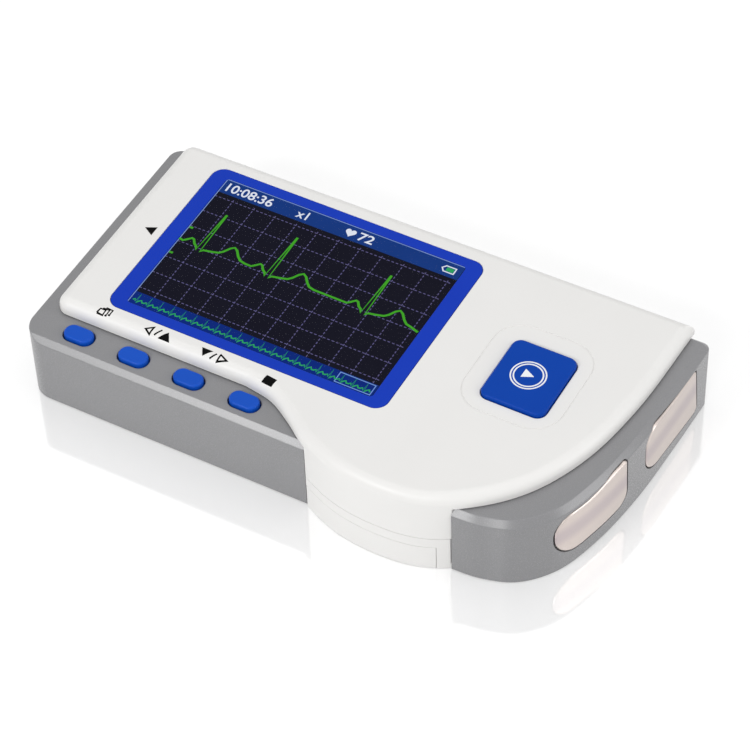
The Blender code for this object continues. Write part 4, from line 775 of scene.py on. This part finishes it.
ELECTRODE_LENGTH = 21.5 * MM
ELECTRODE_HEIGHT = 12.4 * MM
ELECTRODE_FOOT = 3.9 * MM
PLATE_FIT = 0.08 * MM
PLATE_DEPTH = 0.85 * MM
PLATE_RIM = 0.4 * MM
PLATE_PROUD = 0.15 * MM
POCKET_FIT = 0.4 * MM
POCKET_DEPTH = 1.2 * MM
SLICE = 0.75 * MM
FRONT_PLATE = (
    (0.009, 0.016, 0.47), (0.991, 0.01, 0.25), (0.958, 1.0, 0.05), (0.74, 0.995, 1.5),
    (0.437, 0.905, 1.5), (0.009, 0.915, 0.34))
REAR_PLATE = (
    (-0.012, 0.036, 0.42), (1.018, -0.1, 0.1), (0.942, 0.935, 0.05), (-0.012, 1.012, 0.3))
LEFT_PLATE = ((0.0, 0.0, 0.4), (1.0, 0.0, 0.4), (1.0, 1.0, 0.4), (0.0, 1.0, 0.4))


def wall_stretch(path, y, on_right):
    """The wall near a depth y, as (distance along, point, outward normal) rows."""
    line = rounded(path)
    place = along = None
    for a, b in zip(line, line[1:]):
        on_side = a.x > BAY_CENTRE if on_right else a.x < -HALF_LENGTH + TINY
        if on_side and (a.y - y) * (b.y - y) <= 0 and a.y != b.y:
            place, along = a.lerp(b, (y - a.y) / (b.y - a.y)), (b - a).normalized()
    rows = []
    for before, here, after in zip(line, line[1:], line[2:]):
        way = (after - before).normalized()
        if way.dot(along) > 0.4 and (here - place).length < 1.2 * ELECTRODE_LENGTH:
            rows.append(((here - place).dot(along), here, Vector((way.y, -way.x))))
    if len(rows) < 4:
        out = Vector((along.y, -along.x))
        rows = [(s * MM, place + along * s * MM, out) for s in range(-20, 21)]
    return sorted(rows, key=lambda row: row[0])


def bent_plate(name, corners, stretch, grow, deep, proud, rim):
    """A plate with a rounded rim, shaped flat, sliced and then bent to follow the wall."""
    outline = [((u - 0.5) * ELECTRODE_LENGTH, v * ELECTRODE_HEIGHT, r * ELECTRODE_HEIGHT)
               for u, v, r in corners]
    plate = outline_solid(name, rounded(inset(outline, -grow), 10), -deep, proud)
    if rim:
        round_level(plate, proud, rim, 4)
    slice_piece(plate, 0, SLICE, -14, 14)
    for vert in plate.data.vertices:
        u, v, d = vert.co
        for low, high in zip(stretch, stretch[1:]):
            if u <= high[0] or high is stretch[-1]:
                break
        share = (u - low[0]) / (high[0] - low[0])
        point, normal = low[1].lerp(high[1], share), low[2].lerp(high[2], share)
        vert.co = (point.x + normal.x * d, point.y + normal.y * d, ELECTRODE_FOOT + v)
    return plate


def slice_piece(piece, axis, pitch, first, last, start=0.0):
    """Cut extra edges across a piece at even places along X (axis 0) or Y (axis 1)."""
    for number in range(first, last + 1):
        place, normal = [0, 0, 0], [0, 0, 0]
        place[axis], normal[axis] = start + number * pitch, 1
        pick(piece, "FACE", lambda face: True)
        bpy.ops.mesh.bisect(plane_co=place, plane_no=normal)
        leave_edit()


def make_sides():
    """Bumper, end cap and the three electrodes in their pockets."""
    left, right = left_path(), right_path()
    bumper = make_bumper()
    cap = side_piece(
        "grey_end_cap", right, CAP_CHAMFER, 1, ((-FAR, -FAR, -MM), (RIGHT_CUT, FAR, HEIGHT)),
        ((-FAR, RETURN_FRONT, -MM), (RIGHT_BACK, FAR, HEIGHT)))
    plans = (
        ("front_finger_electrode", FRONT_PLATE, right, -0.168 * DEPTH, cap, PLATE_PROUD),
        ("rear_finger_electrode", REAR_PLATE, right, 0.258 * DEPTH, cap, PLATE_PROUD),
        ("left_electrode", LEFT_PLATE, left, 0.05 * DEPTH, bumper, 0.0))
    for node, corners, path, y, shell, proud in plans:
        stretch = wall_stretch(path, y, shell is cap)
        combine(shell, [bent_plate("pocket", corners, stretch, POCKET_FIT, POCKET_DEPTH,
                                   3 * MM, 0)])
        plate = bent_plate(node.replace("electrode", "plate"), corners, stretch, PLATE_FIT,
                           PLATE_DEPTH, proud, PLATE_RIM)
        settle(plate, ELECTRODE_STEEL, "case", [node])
    settle(bumper, GREY_ABS, "case", ["left_bumper"])
    settle(cap, GREY_ABS, "case", ["end_cap"])


# Display

PICTURE_LEVEL = 20.84 * MM
FRAME_TOP = HEIGHT + 0.05 * MM
FRAME_FOOT = 20.2 * MM
PANEL_LEVELS = (18.5 * MM, 19.9 * MM)
WINDOW_SIZE = (56.6 * MM, 40.1 * MM)
PANEL_SIZE = (60.0 * MM, 42.6 * MM)


def make_display():
    """Frame, window, and the panel with its glass bonded up to the window."""
    blue = outline_solid("display_bezel",
                         rounded(rectangle(DISPLAY_CENTRE, *FRAME_SIZE, FRAME_ROUND)),
                         FRAME_FOOT, FRAME_TOP)
    window = rectangle(DISPLAY_CENTRE, *WINDOW_SIZE, WINDOW_ROUND)
    combine(blue, [outline_solid("window_hole", rounded(window, 6), 19 * MM, 22 * MM)])
    round_level(blue, FRAME_TOP, 0.15 * MM, 3)
    settle(blue, FRAME_BLUE, "case", ["display_frame"])
    inside = inset(window, 0.03 * MM)
    glass = outline_solid("display_window", rounded(inside, 6), HEIGHT - 0.07 * MM, HEIGHT)
    settle(glass, ACRYLIC, "case", ["display_lens"])
    panel = outline_solid("display_glass", rounded(rectangle(DISPLAY_CENTRE, *PANEL_SIZE, 0)),
                          *PANEL_LEVELS)
    front = outline_solid("bonded_front", rounded(inside, 6), 19.0 * MM, PICTURE_LEVEL)
    combine(panel, [front], "UNION")
    settle(panel, PANEL_GLASS, "case", ["display_panel"])


PICTURE_CORNER = (-45.94, -13.47)
PICTURE_STRETCH = (1.031, 1.033)


def on_panel(x, y):
    """A place on the machine for a place on the picture, in millimetres from its lower left."""
    return Vector(((PICTURE_CORNER[0] + PICTURE_STRETCH[0] * x) * MM,
                   (PICTURE_CORNER[1] + PICTURE_STRETCH[1] * y) * MM))


def all_on_panel(places):
    """Places on the machine for several places on the picture."""
    return [on_panel(*place) for place in places]


def panel_block(name, low, high, level, thick):
    """A flat block on the picture between two places."""
    a, b = on_panel(*low), on_panel(*high)
    return block(name, (a.x, a.y, level), (b.x, b.y, level + thick))


def line_piece(name, points, width, level, thick):
    """A drawn line: a tube along points, pressed flat."""
    data = primitive(name, bpy.ops.curve.primitive_nurbs_path_add).data
    data.splines.clear()
    data.bevel_depth = width / 2
    data.bevel_resolution = 2
    data.use_fill_caps = True
    spline = data.splines.new("POLY")
    spline.points.add(len(points) - 1)
    for knot, point in zip(spline.points, points):
        knot.co = (point[0], point[1], 0, 1)
    bpy.ops.object.convert(target="MESH")
    piece = bpy.context.object
    for vert in piece.data.vertices:
        vert.co.z = level + vert.co.z * thick / width
    pick(piece, "FACE", lambda face: True)
    bpy.ops.mesh.remove_doubles(threshold=0.0001 * MM)
    bpy.ops.mesh.normals_make_consistent(inside=False)
    leave_edit()
    piece.data.name = name
    return piece


def figures(text, low, high, level, thick):
    """Raised figures that fill a flat box between two places."""
    made = primitive("figures", bpy.ops.object.text_add)
    made.data.body = text
    made.data.extrude = 0.01
    made.data.offset = 0.012
    bpy.ops.object.convert(target="MESH")
    piece = bpy.context.object
    ends = [[f(vert.co[axis] for vert in piece.data.vertices) for f in (min, max)]
            for axis in range(3)]
    spans = ((low[0], high[0]), (low[1], high[1]), (level, level + thick))
    for vert in piece.data.vertices:
        vert.co = [to[0] + (vert.co[axis] - ends[axis][0]) / (ends[axis][1] - ends[axis][0])
                   * (to[1] - to[0]) for axis, to in enumerate(spans)]
    return piece


def light_up(piece, finish):
    """Make a piece of the picture glow on the panel's glass."""
    settle(piece, finish, "case", weighted=False)


def outline_ring(name, points, width, level, thick):
    """A flat closed outline of even width."""
    path = sharp(points)
    ring = outline_solid(name, rounded(path), level, level + thick)
    return combine(ring, [outline_solid("inside", rounded(inset(path, width)), level - MM,
                                        level + MM)])


DASH_LENGTH = 0.56 * MM
DASH_PERIOD = 1.0 * MM
DASH_WIDTH = 0.19 * MM
DASH_RISE = 0.015 * MM


def dash_grid(name, start, across, count, pitch, lines, level):
    """Lines of dashes: they run along X if across is true, else along Y."""
    turn = (lambda a, b, c: Vector((a, b, c))) if across else (lambda a, b, c: Vector((b, a, c)))
    size = turn(DASH_LENGTH, DASH_WIDTH, DASH_RISE)
    middle = Vector((start.x, start.y, level + size.z / 2))
    grid = block(name, middle - size / 2, middle + size / 2)
    for offset, number in ((turn(DASH_PERIOD, 0, 0), count), (turn(0, pitch, 0), lines)):
        apply_step(grid, "ARRAY", count=number, use_relative_offset=False,
                   use_constant_offset=True, constant_offset_displace=offset)
    return grid


def heart_beat(x, top):
    """One beat of the trace about the x of its tall peak, as places on the picture."""
    shape = ((-4.3, 0.55), (-3.6, 1.2), (-2.9, 1.95), (-2.4, 1.8), (-1.7, 0.8), (-1.0, 0.3),
             (-0.62, -0.5), (-0.08, None), (0.08, None), (0.36, -0.65), (0.8, 0.0), (2.6, 0.4),
             (3.9, 0.8), (4.6, 1.5), (5.4, 2.9), (6.1, 3.5), (6.9, 3.0), (7.9, 1.7), (8.8, 0.9),
             (10.0, 0.6))
    return [(x + u, 18.9 + v if v is not None else top) for u, v in shape]


# One beat of the small trace, as places from its start
SMALL_BEAT = ((0.0, 1.0), (0.35, 1.35), (0.65, 0.8), (0.85, 2.9), (1.0, 0.5), (1.25, 1.0),
              (1.75, 1.45), (2.1, 0.95))


def make_picture():
    """What the display shows: bars, dashed grid, trace, clock, gain, heart rate and charge."""
    low = PICTURE_LEVEL
    over, level, thick = low + 0.021 * MM, low + 0.022 * MM, 0.02 * MM
    light_up(panel_block("lit_status_bar", (0.24, 34.75), (54.95, 38.7), low, thick), BAR_BLUE)
    light_up(panel_block("lit_lower_bar", (0.24, 0.0), (54.95, 3.25), low, thick), LOW_BAR_BLUE)
    # A painted highlight: thin glowing strips along the picture's left and top edges, where the
    # window's edge catches the light
    edges = [panel_block("edge", *ends, over, 0.01 * MM)
             for ends in (((0.26, 0.0), (0.44, 38.68)), ((0.44, 38.5), (54.9, 38.68)))]
    light_up(merge_pieces("painted_window_edge_highlight", edges), EDGE_HIGHLIGHT)
    columns = dash_grid("lit_grid_columns", on_panel(4.5, 3.6), False, 32,
                        4.9 * PICTURE_STRETCH[0] * MM, 11, low)
    rows = dash_grid("lit_grid_rows", on_panel(0.6, 4.5), True, 56,
                     4.82 * PICTURE_STRETCH[1] * MM, 7, low + 0.001 * MM)
    light_up(merge_pieces("lit_grid", [columns, rows]), GRID_LINE)
    trace = [(0.3, 19.7)]
    for x, top in ((5.5, 29.4), (21.3, 30.4), (43.0, 29.8)):
        trace += heart_beat(x, top)
    trace += [(54.8, 18.9)]
    lines = [line_piece("line", all_on_panel(points), 0.54 * MM, low + 0.04 * MM, 0.03 * MM)
             for points in (trace, ((0.5, 23.3), (1.3, 23.3)), ((0.5, 15.5), (1.3, 15.5)))]
    light_up(merge_pieces("lit_trace", lines), TRACE_GREEN)
    small = [(1.0 + 2.55 * number + u, v) for number in range(21) for u, v in SMALL_BEAT]
    light_up(line_piece("lit_small_trace", all_on_panel(small), 0.38 * MM, low + 0.04 * MM,
                        0.02 * MM), SMALL_GREEN)
    view = ((46.6, 0.25), (54.5, 0.25), (54.5, 3.05), (46.6, 3.05))
    light_up(outline_ring("lit_view_box", all_on_panel(view), 0.2 * MM, over, 0.012 * MM),
             VIEW_BLUE)
    parts = [figures(text, on_panel(*a), on_panel(*b), level, thick) for text, a, b in (
        ("10:08:36", (1.4, 35.5), (12.0, 37.9)), ("x1", (17.7, 35.6), (20.2, 37.8)),
        ("72", (31.9, 35.5), (35.3, 37.8)))]
    turns = [-i * math.tau / 36 for i in range(36)]
    heart = [(30.0 + 1.15 * math.sin(t) ** 3, 36.7 + 0.075 * (
        13 * math.cos(t) - 5 * math.cos(2 * t) - 2 * math.cos(3 * t) - math.cos(4 * t)))
        for t in turns]
    parts.append(outline_solid("heart", all_on_panel(heart), level, level + thick))
    cell = ((50.6, 36.6), (51.3, 35.7), (53.7, 35.7), (53.7, 37.5), (51.3, 37.5))
    parts.append(outline_ring("charge", all_on_panel(cell), 0.26 * MM, level, thick))
    light_up(merge_pieces("lit_figures", parts), TEXT_WHITE)
    light_up(panel_block("lit_charge", (51.7, 36.1), (53.3, 37.1), level, 0.01 * MM), SMALL_GREEN)


# Buttons

START_TOP = 21.9 * MM
START_FOOT = 17.9 * MM
START_MARK = (35.8 * MM, 5.05 * MM)
START_ARROW = ((34.62, 6.4), (34.57, 4.0), (37.0, 5.15))
RING_WIDTH = 0.31 * MM
KEY_TOP = LEDGE + 0.95 * MM
KEY_FOOT = 15.4 * MM
KEY_FLANGE = (9.0 * MM, 5.2 * MM)
FLANGE_ROUND = 2.0 * MM
PRINT_HALF = 0.02 * MM


def make_start_button():
    """Start button with rounded edges, and the printed rings and arrow on it."""
    path = rectangle(START_CENTRE, *START_SIZE, START_ROUND)
    button = outline_solid("start_cap", rounded(path), START_FOOT, START_TOP)
    round_level(button, START_TOP, 0.55 * MM, 6)
    flange = rectangle(START_CENTRE, *grown(START_SIZE, MM), FLANGE_ROUND)
    combine(button, [outline_solid("flange", rounded(flange), START_FOOT, START_FOOT + 0.8 * MM)],
            "UNION")
    settle(button, BUTTON_BLUE, "start_button", ["start_button"])
    low, high = START_TOP - PRINT_HALF, START_TOP + PRINT_HALF
    parts = []
    for radius in (3.72 * MM, 3.12 * MM):
        ring = outline_solid("ring", circle(START_MARK, radius, 96), low, high)
        combine(ring, [outline_solid("inside", circle(START_MARK, radius - RING_WIDTH, 96),
                                     START_TOP - MM, START_TOP + MM)])
        parts.append(ring)
    parts.append(outline_solid("arrow", in_mm(START_ARROW), low, high))
    settle(merge_pieces("start_mark", parts), MARK_WHITE, "start_button",
           weighted=False)


def make_keys():
    """Four oval keys with soft edges."""
    names = ("page_key", "left_up_key", "down_right_key", "stop_key")
    for name, x in zip(names, KEY_XS):
        key = outline_solid(name + "_cap", rounded(rectangle((x, KEY_Y), *KEY_SIZE, KEY_ROUND)),
                            KEY_FOOT, KEY_TOP)
        round_level(key, KEY_TOP, 0.5 * MM, 6)
        flange = rectangle((x, KEY_Y), *KEY_FLANGE, FLANGE_ROUND)
        combine(key, [outline_solid("flange", rounded(flange), KEY_FOOT, KEY_FOOT + 0.6 * MM)],
                "UNION")
        settle(key, KEY_BLUE, name, [name])


# Printed symbols on the white cover, their corners in millimetres from above

MARK_LINE = 0.36 * MM
PAGE_LINE = 0.42 * MM
FILLED_MARKS = (
    ((-33.47, -17.1), (-35.0, -19.08), (-32.3, -19.08)),
    ((-25.5, -17.4), (-24.57, -19.07), (-22.9, -17.4)),
    ((-10.25, -17.9), (-10.63, -19.66), (-8.13, -20.03), (-7.8, -18.2)),
    ((-53.5, 6.15), (-51.15, 4.75), (-51.15, 7.3)),
    ((-36.12, -18.68), (-35.84, -18.88), (-34.85, -17.24), (-35.13, -17.04)),
    ((-23.05, -18.95), (-22.77, -19.15), (-21.8, -17.74), (-22.08, -17.54)))
OPEN_MARKS = (
    ((-38.6, -18.28), (-36.86, -19.26), (-36.62, -16.86)),
    ((-21.27, -17.24), (-21.41, -19.37), (-18.9, -18.32)))
PAGE_LINES = (
    ((-49.53, -18.8), (-49.22, -17.7), (-48.01, -17.7), (-48.12, -18.9), (-49.53, -18.8)),
    ((-48.75, -17.55), (-48.64, -17.4), (-47.29, -17.4), (-47.38, -18.75), (-47.73, -18.72)),
    ((-48.17, -17.22), (-48.07, -17.04), (-46.67, -17.15), (-46.74, -18.45), (-47.06, -18.45)))


def make_marks(shell):
    """Black symbols by the keys and the display, printed on the cover's rounded rim.

    They are made flat above the cover, sliced, and then each point drops onto it.
    """
    base, thick, sink = 30 * MM, 0.03 * MM, 0.01 * MM
    parts = [outline_solid("mark", in_mm(places), base, base + thick) for places in FILLED_MARKS]
    parts += [outline_ring("mark", in_mm(places), MARK_LINE, base, thick)
              for places in OPEN_MARKS]
    parts += [line_piece("mark", in_mm(places), PAGE_LINE, base + thick / 2, 0.05 * MM)
              for places in PAGE_LINES]
    marks = merge_pieces("printed_symbols", parts)
    slice_piece(marks, 1, 0.2 * MM, 0, 17, -20.2 * MM)
    for vert in marks.data.vertices:
        above = Vector((vert.co.x, vert.co.y, base - 2 * MM))
        hit, place, _, _ = shell.ray_cast(above, Vector((0, 0, -1)))
        vert.co.z += place.z - base - sink if hit else 0
    settle(marks, MARK_BLACK, "case", weighted=False)


# Stage: floor, lamps, world and camera

def camera_light(tree):
    """1 for rays that the camera or a reflection sees, 0 for the rays that light the object."""
    rays = add(tree, "ShaderNodeLightPath")
    seen = add(tree, "ShaderNodeMath", {0: rays.outputs["Is Camera Ray"],
                                        1: rays.outputs["Is Glossy Ray"]}, operation="MAXIMUM")
    return add(tree, "ShaderNodeMath", {0: seen.outputs[0],
                                        1: rays.outputs["Is Transmission Ray"]},
               operation="MAXIMUM").outputs[0]


def make_floor():
    """A white table: it keeps the shadow and faintly mirrors the walls that stand on it."""
    floor = primitive("floor", bpy.ops.mesh.primitive_circle_add, vertices=96,
                      radius=FLOOR_RADIUS, fill_type="NGON")
    finish = bpy.data.materials.new("white_table")
    tree = empty_tree(finish)
    lift = add(tree, "ShaderNodeMath", {0: camera_light(tree), 1: FLOOR_LIFT},
               operation="MULTIPLY")
    matt = add(tree, "ShaderNodeBsdfDiffuse", {"Color": linear("e2e2e2")})
    glow = add(tree, "ShaderNodeEmission",
               {"Color": linear("ffffff"), "Strength": lift.outputs[0]})
    both = add(tree, "ShaderNodeAddShader", {0: matt.outputs[0], 1: glow.outputs[0]})
    mirror = add(tree, "ShaderNodeBsdfGlossy", {"Color": linear("ffffff"), "Roughness": 0.08})
    mixed = add(tree, "ShaderNodeMixShader", {0: FLOOR_MIRROR, 1: both.outputs[0],
                                              2: mirror.outputs[0]})
    add(tree, "ShaderNodeOutputMaterial", {"Surface": mixed.outputs[0]})
    floor.data.materials.append(finish)


def make_stage():
    """Floor, soft lamps, white surroundings and the photograph's camera."""
    make_floor()
    scene = bpy.context.scene
    world = bpy.data.worlds.new("studio")
    scene.world = world
    tree = empty_tree(world)
    plain = add(tree, "ShaderNodeBackground", {"Color": linear("ffffff"), "Strength": WORLD_LIGHT})
    white = add(tree, "ShaderNodeBackground", {"Color": linear("ffffff"), "Strength": 1.0})
    both = add(tree, "ShaderNodeMixShader", {0: camera_light(tree), 1: plain.outputs[0],
                                             2: white.outputs[0]})
    add(tree, "ShaderNodeOutputWorld", {"Surface": both.outputs[0]})

    for name, place, size, energy in LAMPS:
        lamp = bpy.data.lights.new(name, "AREA")
        lamp.shape = "RECTANGLE"
        lamp.size, lamp.size_y = size
        lamp.energy = energy
        holder = bpy.data.objects.new(name, lamp)
        scene.collection.objects.link(holder)
        holder.location = place
        holder.rotation_euler = Vector(place).to_track_quat("Z", "Y").to_euler()

    lens = bpy.data.cameras.new("photo_camera")
    lens.sensor_width = 36.0
    lens.lens = CAMERA_LENS
    lens.clip_start = 0.01
    camera = bpy.data.objects.new("photo_camera", lens)
    scene.collection.objects.link(camera)
    azimuth, elevation, roll = (math.radians(angle) for angle in CAMERA_ANGLES)
    flat = math.cos(elevation)
    back = Vector((math.sin(azimuth) * flat, -math.cos(azimuth) * flat, math.sin(elevation)))
    right = Vector((math.cos(azimuth), math.sin(azimuth), 0))
    up = back.cross(right)
    rolled_right = right * math.cos(roll) + up * math.sin(roll)
    rolled_up = up * math.cos(roll) - right * math.sin(roll)
    camera.matrix_world = Matrix.LocRotScale(
        Vector(CAMERA_PLACE) * MM, Matrix((rolled_right, rolled_up, back)).transposed(), None)
    scene.camera = camera
    scene.view_settings.view_transform = "Standard"


# Azimuth, elevation and roll in degrees, and the place in millimetres
CAMERA_ANGLES = (30.439, 47.619, -2.157)
CAMERA_PLACE = (213.02, -355.94, 463.14)
CAMERA_LENS = 145.83
# Each lamp's name, place, two sizes and energy
LAMPS = (("overhead_softbox", (0.1, 0.1, 1.1), (1.2, 1.2), 3.4),
         ("front_softbox", (-0.34, -0.87, 0.65), (0.36, 0.26), 3.7),
         ("front_right_softbox", (0.21, -0.84, 0.7), (0.22, 0.22), 1.3),
         ("right_softbox", (0.92, 0.2, 0.42), (0.45, 0.45), 2.2))
WORLD_LIGHT = 0.46
FLOOR_LIFT = 0.38
FLOOR_MIRROR = 0.29
FLOOR_RADIUS = 1.6

top_shell = make_top_shell()
make_base_shell()
make_door()
make_sides()
make_display()
make_picture()
make_start_button()
make_keys()
make_marks(top_shell)
make_stage()

# Finishes of the solids that are carried over as they are: the rest of them are nickel plated
CARRIED = {
    "display_backlight": LIGHT_GUIDE, "display_holder": BLACK_ABS, "display_ribbon": AMBER_FILM,
    "board_ribbon": AMBER_FILM, "main_board": GREEN_BOARD, "key_board": GREEN_BOARD,
    "processor_chip": BLACK_ABS, "buzzer": BLACK_ABS, "left_cell": CELL_SLEEVE,
    "right_cell": CELL_SLEEVE}
for name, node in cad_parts.items():
    finish = CARRIED.get(name, NICKEL)
    if name.endswith("_switch"):
        finish = BLACK_ABS
    elif name.endswith("_wire"):
        finish = RED_WIRE
    elif name.startswith("case_screw"):
        finish = ZINC
    node.data.materials.clear()
    node.data.materials.append(finish)
